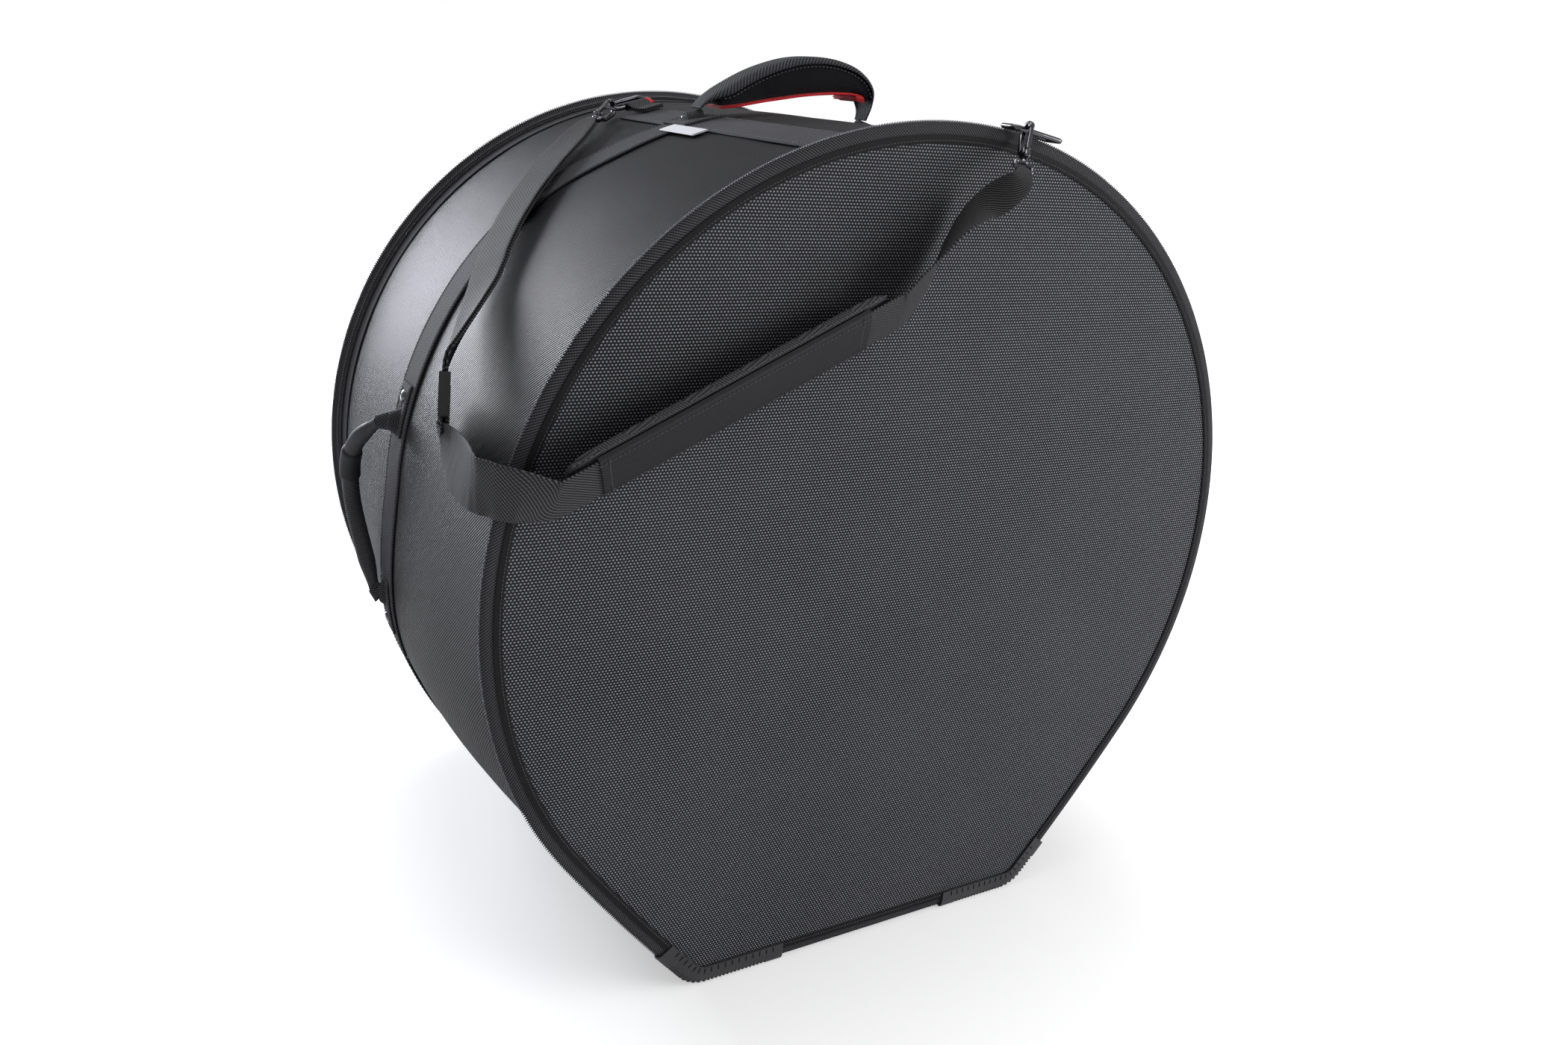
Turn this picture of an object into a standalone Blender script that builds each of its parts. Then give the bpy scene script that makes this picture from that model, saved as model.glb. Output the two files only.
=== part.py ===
# Padded soft bag for a bass drum, with a shoulder strap on two snap hooks.
# Metres, Z up. The round front is at -Y and the zipped lid at +Y.
# Every piece is placed round the drum's axis, and the whole bag then stands on its corner guards.

import math

import bpy
import bmesh
from mathutils import Matrix, Vector

# Clearance between pieces that touch
GAP = 0.0003

# Outline of the bag: a circle, two slightly bowed flanks and a flat base
BAG_RADIUS = 0.320
BAG_DEPTH = 0.453
BASE_DROP = 0.3163
FLANK_RADIUS = 1.79
FLANK_ANGLE = 125.4
CORNER_RADIUS = 0.020
ARC_STEPS = 20
FLANK_STEPS = 3
CORNER_STEPS = 3

# The lower side wall swells outwards
BULGE = 0.019
BULGE_START_ANGLE = 84.0
BULGE_FULL_ANGLE = 112.0
BULGE_FADE_ANGLE = 120.0
BULGE_BASE_SHARE = 0.26

# Layers of the wall
SKIN = 0.0016
PADDING = 0.013
LINING = 0.0012

# Binding, a piped ring along each edge
BINDING_CREST = 0.0085
BINDING_WIDTH = 0.010
BINDING_EDGE = 0.0005
BINDING_SHARES = ((0.03, 0.57), (0.17, 0.93), (0.30, 1.0), (0.43, 0.93), (0.79, 0.38))

# Zip and lid
LID_DEPTH = 0.014
ZIP_TAPE_WIDTH = 0.017
ZIP_TAPE = 0.0008
ZIP_COIL_WIDTH = 0.0019
ZIP_COIL = 0.0018
LID_PLUG = 0.0023
LID_PLUG_CLEARANCE = 0.0008
HINGE_STRIP_WIDTH = 0.022
HINGE_STRIP = 0.0010
SLIDER_LENGTH = 0.014
SLIDER_WIDTH = 0.0090
SLIDER_PLATE = 0.0015
ARCH_OPENING = 0.0027
ARCH_BAR = 0.0013
ARCH_WIDTH = 0.0026
SLIDER_ANGLES = (104.0, 112.5)
PULL_LENGTH = 0.030
PULL_WIDTH = 0.0068
PULL = 0.0015
PULL_RIM = 0.0010
PULL_SLOT = 0.0046

# Corner guards
GUARD_WALL = 0.0015
GUARD_FLANGE = 0.006
GUARD_LIP = 0.0042
GUARD_BASE_REACH = 0.068
GUARD_FLANK_ANGLE_SHARE = 0.21

# Webs sewn on the wall
WEB = 0.0015
WEB_WIDTH = 0.038
CENTRE_WEB_LOW = 0.010
CENTRE_WEB_HIGH = 0.048
CENTRE_WEB_SHIFT = 0.020
CENTRE_WEB_SHIFT_ANGLES = (26.0, 42.0)
CROSS_WEB_ANGLE = 14.5
CROSS_WEB_BACK = 0.1175

# Top handle
HANDLE_WIDTH = 0.040
HANDLE_PAD_WIDTH = 0.036
HANDLE_RISE = 0.051
HANDLE_PAD = 0.026
HANDLE_LINING = 0.0020
HANDLE_Y = 0.010
HANDLE_STEPS = 20
HANDLE_SHARES = (
    (-1.00, 0.15), (-0.92, 0.30), (-0.70, 0.52), (-0.42, 0.76), (-0.10, 0.95), (0.18, 1.04),
    (0.50, 1.04), (0.78, 0.93), (0.95, 0.74), (1.02, 0.52), (1.02, 0.30), (0.98, 0.12),
)
HANDLE_END_WIDTH = 0.018
FOOT_LENGTH = 0.040
FOOT_FOLD_RADIUS = 0.005
FOOT_FOLD_LENGTH = 0.012
RIVET_RADIUS = 0.0048
RIVET_HEIGHT = 0.0018

# Side handles: angle round the drum, place along the depth, and rise over the wall
GRIP_RADIUS = 0.0068
GRIP_RISE = 0.0205
GRIP_LEAN = 0.058
GRIP_ANGLES = (77.0, 102.0)
GRIP_SHARES = (
    (0.024, 0.10, 0.62), (0.156, 0.50, 0.97), (0.296, 0.85, 0.97), (0.452, 1.00, 0.80),
    (0.604, 0.95, 0.66), (0.736, 0.75, 0.50), (0.856, 0.45, 0.40), (0.972, 0.085, 0.34),
)
COVER_WALL = 0.0012
COVER_SHARES = (0.28, 0.46)
TAB_WIDTH = 0.024
TAB_LENGTH = 0.042
GUSSET_HEIGHTS = (0.0078, 0.0044)
GUSSET = 0.0050
GUSSET_BASE = 0.020
GUSSET_TOP = 0.0080

# Rings, each with one bar in a folded web loop
RING_LENGTH = 0.043
RING_WIDTH = 0.022
RING_WIRE = 0.00175
RING_CORNER = 0.005
RING_TAB_WIDTH = 0.022
FRONT_RING_ANGLE = 11.5
FRONT_RING_INSET = 0.0085
FRONT_RING_RISE = 0.0110
FRONT_RING_YAW = -8.0
FRONT_RING_LIFT = -1.5
FRONT_TAB_SHARES = ((0.30, -0.10), (0.62, -0.60), (1.0, -0.60))
FRONT_TAB_LENGTH = 0.026
FRONT_TAB_DROP = 0.0098
BACK_RING_ANGLE = -14.3
BACK_RING_Y = 0.1265
BACK_RING_RISE = 0.0072
BACK_RING_YAW = 18.0
BACK_RING_LIFT = 9.0
BACK_TAB_SHARES = ((0.30, -0.30), (0.50, -0.62), (1.0, -0.62))
BACK_TAB_LENGTH = 0.024
BACK_TAB_DROP = 0.0045
RED_TAG_WIDTH = 0.0035

# Snap hooks, measured along their own axis from the swivel to the nose
HOOK_HALF_WIDTH = 0.0075
HOOK_HOLE_HALF = 0.0043
HOOK_PLATE = 0.0042
HOOK_BASE = 0.0035
HOOK_BASE_HALF = 0.0050
HOOK_HOLE_LOW = 0.0155
HOOK_NOSE_CENTRE = 0.0330
HOOK_NOSE_LIP = 0.0021
GATE_PIVOT = 0.0115
GATE_REACH = 0.0187
GATE_THICKNESS = 0.0026
GATE_WIDTH = 0.0028
GATE_BOSS = 0.0017
EYE_HALF_WIDTH = 0.0068
EYE_DROP = 0.0070
EYE_WIRE = 0.0016
EYE_CORNER = 0.0028
STEM_RADIUS = 0.0024
FRONT_HOOK_AIM = (0.50, 0.62, 0.605)
FRONT_HOOK_GATE = (0.0, -0.70, 0.716)
FRONT_HOOK_SLIDE = 0.010
FRONT_HOOK_SEAT = 0.0010
BACK_HOOK_AIM = (0.696, 0.670, 0.255)
BACK_HOOK_SEAT = 0.0019

# Shoulder strap: a web 40 mm wide, doubled between the back hook and its slider
STRAP = 0.0016
STRAP_WIDTH = 0.040
STRAP_LAYER_GAP = 0.0006
STRAP_NECK = 0.0088
STRAP_NECK_LENGTH = 0.030
STRAP_RISE = 0.0080
STRAP_STEP = 0.013
STRAP_RUN_STEPS = 10
# Along the wall: angle round the drum, then the place along half the bag's depth
STRAP_WALL_SHARES = (
    (-33.0, 0.262), (-37.0, 0.180), (-42.0, 0.088), (-47.0, -0.008), (-51.0, -0.090), (-55.0, -0.175),
)
# The straight run of the slider: its two ends as shares of the radius, half the depth and the radius
STRAP_RUN_SHARES = ((-0.972, -0.415, 0.452), (-1.000, -0.512, 0.296))
STRAP_RUN_ACROSS = (-0.266, -0.923, 0.276)
# Past the run: the same shares, then the web's width direction
STRAP_CORNER_SHARES = (
    (-1.0080, -0.630, 0.296, 0.10, -0.45, 0.88), (-1.0156, -0.759, 0.303, 0.0, -0.82, 0.57),
    (-1.0250, -0.980, 0.312, 0.0, -0.50, 0.85), (-0.9700, -1.0883, 0.308, 0.05, -0.34, 0.94),
)
# Past the pad, up to the front hook
STRAP_FRONT_SHARES = (
    (-0.0830, -1.0980, 0.711, -0.54, -0.70, 0.45), (-0.0563, -1.1000, 0.756, -0.42, -0.84, 0.34),
    (-0.0203, -1.1040, 0.809, -0.26, -0.94, 0.23), (0.0330, -1.1120, 0.861, -0.05, -0.93, -0.20),
    (0.0600, -1.1500, 0.890, 0.30, -0.80, -0.45),
)
# The web gathers towards the hook, over the last rows of that route
STRAP_GATHER_SHARES = (1.0, 1.0, 1.0, 0.82, 0.60)
STRAP_STITCH_BACK = 0.014
BUCKLE_LENGTH = 0.030
BUCKLE_RAIL = 0.0045
BUCKLE_BAR = 0.0055
BUCKLE_PLATE = 0.0016
BUCKLE_PLACE_SHARE = 0.44
# The free tail: place along the run, distance towards the wall and turn of its width
TAIL_WIDTH = 0.038
TAIL_ROWS = ((0.0, 0.0, 0.0), (0.014, 0.0, 0.0), (0.026, 0.004, 0.0), (0.037, 0.010, 30.0))
TAIL_DRIFT = (0.0004, -0.0016, -0.0016)

# Shoulder pad
PAD_LENGTH = 0.250
PAD_WIDTH = 0.046
PAD_FRONT = 0.005
PAD_BACK = 0.0065
PAD_X_SHARE = -0.522
PAD_Z_SHARE = 0.478
PAD_SLOPE = 24.8
PAD_TILT = 36.0
PAD_TRAVEL = 0.010
# Straight web before the pad's travel ends, so that its face there is flat
STRAP_LEAD = 0.006
PAD_END_SHARES = (
    (-1.0, 0.45, 0.45), (-0.975, 0.74, 0.72), (-0.92, 0.95, 0.92), (-0.6, 1.0, 1.0),
    (0.0, 1.0, 1.0), (0.6, 1.0, 1.0), (0.92, 0.95, 0.92), (0.975, 0.74, 0.72), (1.0, 0.45, 0.45),
)
PAD_SECTION_SHARES = ((-1.0, 0.5), (-0.55, 0.86), (0.0, 1.0), (0.55, 0.86), (1.0, 0.5))
SLEEVE = 0.0012
SLEEVE_LENGTH = 0.206
SLEEVE_CLEARANCE = 0.0008

# Labels
LABEL_LENGTH = 0.058
LABEL_WIDTH = 0.014
LABEL = 0.0012

HALF_DEPTH = BAG_DEPTH / 2
FRONT = -HALF_DEPTH
BACK = HALF_DEPTH
WALL_FRONT = FRONT + SKIN + GAP
ZIP_Y = BACK - LID_DEPTH
WALL_BACK = ZIP_Y - GAP
PADDING_FRONT = FRONT + SKIN + GAP + PADDING + GAP
PADDING_BACK = ZIP_Y - LID_PLUG - LINING
STRAP_LAYER = (STRAP + STRAP_LAYER_GAP) / 2
PAD_STANDOFF = (
    PAD_WIDTH / 2 * math.sin(math.radians(PAD_TILT))
    + PAD_BACK * PAD_SECTION_SHARES[0][1] * math.cos(math.radians(PAD_TILT)) + GAP
)

FINISHES = {}
HOLDERS = {}


def finish(name, colour, roughness, metallic=0.0):
    """Return the named Principled material, made once."""
    if name not in FINISHES:
        material = bpy.data.materials.new(name)
        material.use_nodes = True
        shader = material.node_tree.nodes["Principled BSDF"]
        shader.inputs["Base Color"].default_value = (*colour, 1.0)
        shader.inputs["Roughness"].default_value = roughness
        shader.inputs["Metallic"].default_value = metallic
        FINISHES[name] = material
    return FINISHES[name]


def black_web():
    return finish("black_web", (0.012, 0.012, 0.014), 0.75)


def wall_cloth():
    return finish("wall_cloth", (0.018, 0.018, 0.022), 0.55)


def panel_cloth():
    return finish("panel_cloth", (0.045, 0.046, 0.052), 0.6)


def foam():
    return finish("foam", (0.05, 0.05, 0.05), 0.9)


def lining_cloth():
    return finish("lining_cloth", (0.03, 0.03, 0.033), 0.85)


def dark_metal():
    return finish("dark_metal", (0.05, 0.05, 0.055), 0.25, 1.0)


def guard_plastic():
    return finish("guard_plastic", (0.03, 0.03, 0.033), 0.5)


def red_mesh():
    return finish("red_mesh", (0.62, 0.015, 0.018), 0.7)


def hold(name, point, parent=None):
    """Make the empty that a group of pieces hangs on, at a point of the drum's frame."""
    empty = bpy.data.objects.new(name + "_place", None)
    bpy.context.scene.collection.objects.link(empty)
    HOLDERS[name] = Vector(point)
    if parent is not None:
        empty.parent = bpy.data.objects[parent + "_place"]
        empty.location = Vector(point) - HOLDERS[parent]
    return name


def add(name, vertices, faces, material, holder, smooth=None):
    """Add one closed body, given in the drum's frame, under its holder."""
    shift = HOLDERS[holder]
    mesh = bpy.data.meshes.new(name)
    mesh.from_pydata([Vector(vertex) - shift for vertex in vertices], [], faces)
    work = bmesh.new()
    work.from_mesh(mesh)
    bmesh.ops.recalc_face_normals(work, faces=work.faces)
    work.to_mesh(mesh)
    work.free()
    if smooth is not None:
        mesh.shade_smooth()
        mesh.set_sharp_from_angle(angle=math.radians(smooth))
    mesh.materials.append(material)
    piece = bpy.data.objects.new(name, mesh)
    bpy.context.scene.collection.objects.link(piece)
    piece.parent = bpy.data.objects[holder + "_place"]
    return piece


def fuse(piece, others):
    """Join the other bodies to a piece with Boolean unions."""
    for other in others:
        union = piece.modifiers.new("join_" + other.name, "BOOLEAN")
        union.operation = "UNION"
        union.solver = "EXACT"
        union.object = other
        other.hide_render = True
        other.display_type = "WIRE"


def smoothstep(value):
    value = min(max(value, 0.0), 1.0)
    return value * value * (3 - 2 * value)


# Outline and wall surface

def flank_centre():
    angle = math.radians(FLANK_ANGLE)
    reach = FLANK_RADIUS - BAG_RADIUS
    return -reach * math.sin(angle), -reach * math.cos(angle)


def corner_centre():
    centre_x, centre_z = flank_centre()
    z = CORNER_RADIUS - BASE_DROP
    reach = math.sqrt((FLANK_RADIUS - CORNER_RADIUS) ** 2 - (z - centre_z) ** 2)
    return centre_x + reach, z


def corner_angle():
    centre_x, centre_z = flank_centre()
    x, z = corner_centre()
    return math.degrees(math.atan2(x - centre_x, z - centre_z))


def half_stations():
    """Angles of the outline's points, from the top to the base; past 180 lies the base's middle."""
    angles = [FLANK_ANGLE * step / ARC_STEPS for step in range(ARC_STEPS)]
    end = corner_angle()
    angles += [FLANK_ANGLE + (end - FLANK_ANGLE) * step / FLANK_STEPS for step in range(FLANK_STEPS)]
    angles += [end + (180 - end) * step / CORNER_STEPS for step in range(CORNER_STEPS + 1)]
    return angles


def outline_point(angle, out):
    """Point of the outline at a normal angle from the top, moved outwards along the normal."""
    turn = math.radians(min(angle, 180.0))
    if angle <= FLANK_ANGLE:
        centre, radius = (0.0, 0.0), BAG_RADIUS
    elif angle <= corner_angle():
        centre, radius = flank_centre(), FLANK_RADIUS
    else:
        centre, radius = corner_centre(), CORNER_RADIUS
    x = centre[0] + (radius + out) * math.sin(turn)
    z = centre[1] + (radius + out) * math.cos(turn)
    if angle > 180.0:
        x = corner_centre()[0] * (181.0 - angle)
        z = -BASE_DROP - out
    return x, z


def wall_stations():
    """Places along the depth where the wall's facets meet; the web's edges are two of them."""
    front = FRONT + BINDING_WIDTH
    back = ZIP_Y - ZIP_TAPE_WIDTH
    middle = (front + CENTRE_WEB_LOW) / 2
    behind = (CENTRE_WEB_HIGH + back) / 2
    return [front, middle, CENTRE_WEB_LOW, CENTRE_WEB_HIGH, behind, back]


def bulge(angle, y):
    """Swell of the wall, straight between the wall's stations."""
    start = smoothstep((angle - BULGE_START_ANGLE) / (BULGE_FULL_ANGLE - BULGE_START_ANGLE))
    fade = smoothstep((angle - BULGE_FADE_ANGLE) / (180 - BULGE_FADE_ANGLE))
    height = BULGE * start * (1 - (1 - BULGE_BASE_SHARE) * fade)
    places = wall_stations()
    if y <= places[0] or y >= places[-1]:
        return 0.0
    middle = (places[0] + places[-1]) / 2
    half = (places[-1] - places[0]) / 2
    for low, high in zip(places, places[1:]):
        if y <= high:
            first = 1 - ((low - middle) / half) ** 2
            last = 1 - ((high - middle) / half) ** 2
            return height * (first + (last - first) * (y - low) / (high - low))
    return 0.0


def wall_point(angle, y, out):
    """Point over the faceted wall at a signed angle: negative on the left."""
    size = abs(angle)
    stations = half_stations() + [181.0]
    for low, high in zip(stations, stations[1:]):
        if size <= high:
            break
    share = (size - low) / (high - low)
    x0, z0 = outline_point(low, out + bulge(low, y))
    x1, z1 = outline_point(high, out + bulge(high, y))
    x = x0 + (x1 - x0) * share
    z = z0 + (z1 - z0) * share
    return Vector((math.copysign(1.0, angle) * x, y, z))


def full_loop():
    """Signed angles once round the outline: down the right side and up the left."""
    angles = half_stations()
    return angles + [-angle for angle in reversed(angles[1:])]


def down_and_up(start):
    """Signed angles from the right at start, down round the base and up to the left."""
    angles = [start] + [angle for angle in half_stations() if angle > start]
    return angles + [-angle for angle in reversed(angles)]


def over_the_top(end):
    """Signed angles from the left at end, over the top and down to the right."""
    angles = [angle for angle in half_stations() if angle < end] + [end]
    return [-angle for angle in reversed(angles[1:])] + angles


def between(first, last):
    """Signed angles of one side, from first to last."""
    sign = math.copysign(1.0, first + last)
    low, high = sorted((abs(first), abs(last)))
    angles = [low] + [angle for angle in half_stations() if low < angle < high] + [high]
    return [sign * angle for angle in angles]


def sweep_rows(rows, sections, closed):
    """Triangles between rows of points; facets of neighbouring layers get the same diagonals."""
    count = len(rows[0])
    vertices = [point for row in rows for point in row]
    faces = []
    total = len(rows)
    for step in range(total if closed else total - 1):
        here = step * count
        there = (step + 1) % total * count
        for index in range(count):
            after = (index + 1) % count
            a, b = here + index, there + index
            c, d = there + after, here + after
            if sections[step][after][0] >= sections[step][index][0]:
                faces += [(a, b, c), (a, c, d)]
            else:
                faces += [(a, b, d), (b, c, d)]
    if not closed:
        faces.append(tuple(range(count)))
        faces.append(tuple(range((total - 1) * count, total * count)))
    return vertices, faces


def sweep(name, angles, section, material, holder, closed=False, smooth=30):
    """Sweep a section of (y, out) points round the wall; a section may depend on the angle."""
    sections = [section(angle) if callable(section) else section for angle in angles]
    rows = [[wall_point(angle, y, out) for y, out in points] for angle, points in zip(angles, sections)]
    vertices, faces = sweep_rows(rows, sections, closed)
    return add(name, vertices, faces, material, holder, smooth)


def slab(name, inset, front, back, material, holder):
    """Flat plate of the bag's outline between two places along the depth."""
    outline = [wall_point(angle, FRONT, -inset) for angle in full_loop()]
    count = len(outline)
    vertices = [Vector((point.x, front, point.z)) for point in outline]
    vertices += [Vector((point.x, back, point.z)) for point in outline]
    faces = [tuple(range(count)), tuple(range(count, 2 * count))]
    for index in range(count):
        after = (index + 1) % count
        faces.append((index, after, count + after, count + index))
    return add(name, vertices, faces, material, holder)


def layered(front, back, outer, inner):
    """Section of a wall layer that follows the wall's stations, between two insets."""
    places = [front] + [y for y in wall_stations() if front < y < back] + [back]
    return [(y, -outer) for y in places] + [(y, -inner) for y in reversed(places)]


# General shapes

def curve_through(points, step):
    """Smooth curve through control points, as evenly spaced points; each row holds a position and extras."""
    rows = [list(row) for row in points]
    result = []
    for index in range(len(rows) - 1):
        before = rows[max(index - 1, 0)]
        start, end = rows[index], rows[index + 1]
        after = rows[min(index + 2, len(rows) - 1)]
        length = math.dist(start[:3], end[:3])
        count = max(1, round(length / step))
        for part in range(count):
            t = part / count
            row = []
            for p0, p1, p2, p3 in zip(before, start, end, after):
                row.append(0.5 * (2 * p1 + (p2 - p0) * t + (2 * p0 - 5 * p1 + 4 * p2 - p3) * t ** 2
                                  + (3 * p1 - p0 - 3 * p2 + p3) * t ** 3))
            result.append(row)
    result.append(rows[-1])
    return result


def loft(name, rows, material, holder, closed=False, smooth=35):
    """Body through rows of points, with flat ends unless it closes on itself."""
    count = len(rows[0])
    vertices = [point for row in rows for point in row]
    faces = []
    total = len(rows)
    for step in range(total if closed else total - 1):
        here, there = step * count, (step + 1) % total * count
        for index in range(count):
            after = (index + 1) % count
            faces.append((here + index, there + index, there + after, here + after))
    if not closed:
        faces.append(tuple(range(count)))
        faces.append(tuple(range((total - 1) * count, total * count)))
    return add(name, vertices, faces, material, holder, smooth)


def tube(name, path, radius, sides, material, holder, closed=False):
    """Round tube along a path; radius may be one value or one for each point."""
    points = [Vector(point) for point in path]
    radii = radius if isinstance(radius, (list, tuple)) else [radius] * len(points)
    total = len(points)
    rows = []
    side = None
    for index, point in enumerate(points):
        before = points[index - 1] if closed or index > 0 else point
        after = points[(index + 1) % total] if closed or index < total - 1 else point
        along = (after - before).normalized()
        if side is None:
            side = along.orthogonal()
        side = (side - along * side.dot(along)).normalized()
        across = along.cross(side)
        row = []
        for corner in range(sides):
            turn = 2 * math.pi * corner / sides
            row.append(point + radii[index] * (side * math.cos(turn) + across * math.sin(turn)))
        rows.append(row)
    return loft(name, rows, material, holder, closed, smooth=60)


def plate(name, frame, outline, low, high, material, holder, smooth=None):
    """Outline in a frame's first two directions, extruded along its third from low to high."""
    count = len(outline)
    vertices = [frame @ Vector((a, b, low)) for a, b in outline]
    vertices += [frame @ Vector((a, b, high)) for a, b in outline]
    faces = [tuple(range(count)), tuple(range(count, 2 * count))]
    for index in range(count):
        after = (index + 1) % count
        faces.append((index, after, count + after, count + index))
    return add(name, vertices, faces, material, holder, smooth)


def frame_at(point, first, second):
    """Frame with its first direction along first, and its second in the plane of both."""
    one = Vector(first).normalized()
    two = Vector(second)
    two = (two - one * two.dot(one)).normalized()
    three = one.cross(two)
    matrix = Matrix((one, two, three)).transposed().to_4x4()
    matrix.translation = Vector(point)
    return matrix


def rectangle(half_a, half_b):
    return [(-half_a, -half_b), (half_a, -half_b), (half_a, half_b), (-half_a, half_b)]


def arc(centre_a, centre_b, radius, start, end, steps):
    points = []
    for step in range(steps + 1):
        turn = math.radians(start + (end - start) * step / steps)
        points.append((centre_a + radius * math.cos(turn), centre_b + radius * math.sin(turn)))
    return points


def rounded(half_a, half_b, radius, steps=3):
    points = arc(half_a - radius, half_b - radius, radius, 0, 90, steps)
    points += arc(radius - half_a, half_b - radius, radius, 90, 180, steps)
    points += arc(radius - half_a, radius - half_b, radius, 180, 270, steps)
    points += arc(half_a - radius, radius - half_b, radius, 270, 360, steps)
    return points


def ribbon(name, stations, thickness, material, holder):
    """Flat web through stations of (point, width direction, width, offset along its face)."""
    points = [station[0] for station in stations]
    rows = []
    for index, (point, across, width) in enumerate(stations):
        before = points[max(index - 1, 0)]
        after = points[min(index + 1, len(points) - 1)]
        along = (after - before).normalized()
        side = (across - along * across.dot(along)).normalized()
        face = along.cross(side)
        corners = ((-0.5, -0.5), (0.5, -0.5), (0.5, 0.5), (-0.5, 0.5))
        rows.append([point + side * (width * a) + face * (thickness * b) for a, b in corners])
    vertices = [corner for row in rows for corner in row]
    faces = []
    for step in range(len(rows) - 1):
        for index in range(4):
            after = (index + 1) % 4
            a, b = 4 * step + index, 4 * step + 4 + index
            c, d = 4 * step + 4 + after, 4 * step + after
            # The web's two faces split along the same diagonal, so that they stay parallel where it twists
            faces += [(a, b, c), (a, c, d)] if index < 2 else [(a, b, d), (b, c, d)]
    last = 4 * (len(rows) - 1)
    faces += [(0, 1, 2, 3), (last, last + 1, last + 2, last + 3)]
    return add(name, vertices, faces, material, holder, smooth=30)


# Shell of the bag

def build_shell():
    slab("front_panel", 0, FRONT, FRONT + SKIN, panel_cloth(), "bag")
    slab("front_padding", SKIN + GAP, FRONT + SKIN + GAP, FRONT + SKIN + GAP + PADDING, foam(), "bag")
    lining_inset = SKIN + GAP + PADDING + GAP + LINING + GAP
    lining_front = FRONT + SKIN + GAP + PADDING + GAP
    slab("front_lining", lining_inset, lining_front, lining_front + LINING, lining_cloth(), "bag")
    skin = layered(WALL_FRONT, WALL_BACK, 0, SKIN)
    sweep("side_wall", full_loop(), skin, wall_cloth(), "bag", closed=True)
    pad_outer = SKIN + GAP
    pad_inner = pad_outer + PADDING
    pad = layered(PADDING_FRONT, PADDING_BACK, pad_outer, pad_inner)
    sweep("side_padding", full_loop(), pad, foam(), "bag", closed=True)
    cover = layered(PADDING_FRONT, PADDING_BACK, pad_inner + GAP, pad_inner + GAP + LINING)
    sweep("side_lining", full_loop(), cover, lining_cloth(), "bag", closed=True)


def binding_section(face, inwards):
    """Section of the piped binding, from the face towards the bag's middle."""
    points = [(BINDING_EDGE, GAP)]
    for along, up in BINDING_SHARES:
        points.append((BINDING_EDGE + along * (BINDING_WIDTH - BINDING_EDGE), up * BINDING_CREST))
    points.append((BINDING_WIDTH, GAP))
    return [(face + inwards * y, out) for y, out in points]


def build_bindings():
    sweep("front_binding", full_loop(), binding_section(FRONT, 1), black_web(), "bag", closed=True)
    sweep("back_binding", full_loop(), binding_section(BACK, -1), black_web(), "lid", closed=True)


def build_lid():
    slab("lid_panel", 0, BACK - SKIN, BACK, panel_cloth(), "lid")
    rim_front = ZIP_Y + GAP
    rim = [(rim_front, 0), (BACK - SKIN - GAP, 0), (BACK - SKIN - GAP, -SKIN), (rim_front, -SKIN)]
    sweep("lid_rim", full_loop(), rim, wall_cloth(), "lid", closed=True)
    inset = SKIN + LID_PLUG_CLEARANCE
    plug_front = ZIP_Y - LID_PLUG + LINING
    slab("lid_padding", inset, plug_front, BACK - SKIN - 2 * GAP, foam(), "lid")
    lining_inset = inset + 2 * GAP
    slab("lid_lining", lining_inset, plug_front - GAP - LINING, plug_front - GAP, lining_cloth(), "lid")


def build_hinge_strip():
    """Web under the base that carries the lid."""
    half_share = 0.86
    first = 181.0 - half_share
    section = [
        (ZIP_Y - HINGE_STRIP_WIDTH, GAP), (WALL_BACK, GAP),
        (WALL_BACK, GAP + HINGE_STRIP), (ZIP_Y - HINGE_STRIP_WIDTH, GAP + HINGE_STRIP),
    ]
    sweep("lid_hinge_strip", [first, 181.0, -first], section, black_web(), "bag")


# Zip

def zip_end():
    return corner_angle()


def build_zip():
    angles = over_the_top(zip_end())
    tape_top = GAP + ZIP_TAPE
    coil_low = tape_top + GAP
    coil_top = coil_low + ZIP_COIL
    for name, holder, edge, outwards in (("body", "bag", WALL_BACK, -1), ("lid", "lid", ZIP_Y + GAP, 1)):
        width = ZIP_TAPE_WIDTH if name == "body" else LID_DEPTH - BINDING_WIDTH - 2 * GAP
        far = edge + outwards * width
        tape = [(edge, GAP), (far, GAP), (far, tape_top), (edge, tape_top)]
        sweep("zip_tape_" + name, angles, tape, black_web(), holder)
        tip = ZIP_Y + outwards * GAP
        far = tip + outwards * ZIP_COIL_WIDTH
        coil = [(tip, coil_low), (far, coil_low), (far, coil_top), (tip, coil_top)]
        sweep("zip_coil_" + name, angles, coil, guard_plastic(), holder)
    return coil_top


def slider_frame(angle, out):
    """Frame at the zip's middle: along the rim, along the depth, and outwards."""
    turn = math.radians(angle)
    radius = BAG_RADIUS + out
    point = Vector((radius * math.sin(turn), ZIP_Y, radius * math.cos(turn)))
    along = Vector((math.cos(turn), 0, -math.sin(turn)))
    return frame_at(point, along, (0, 1, 0))


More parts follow.
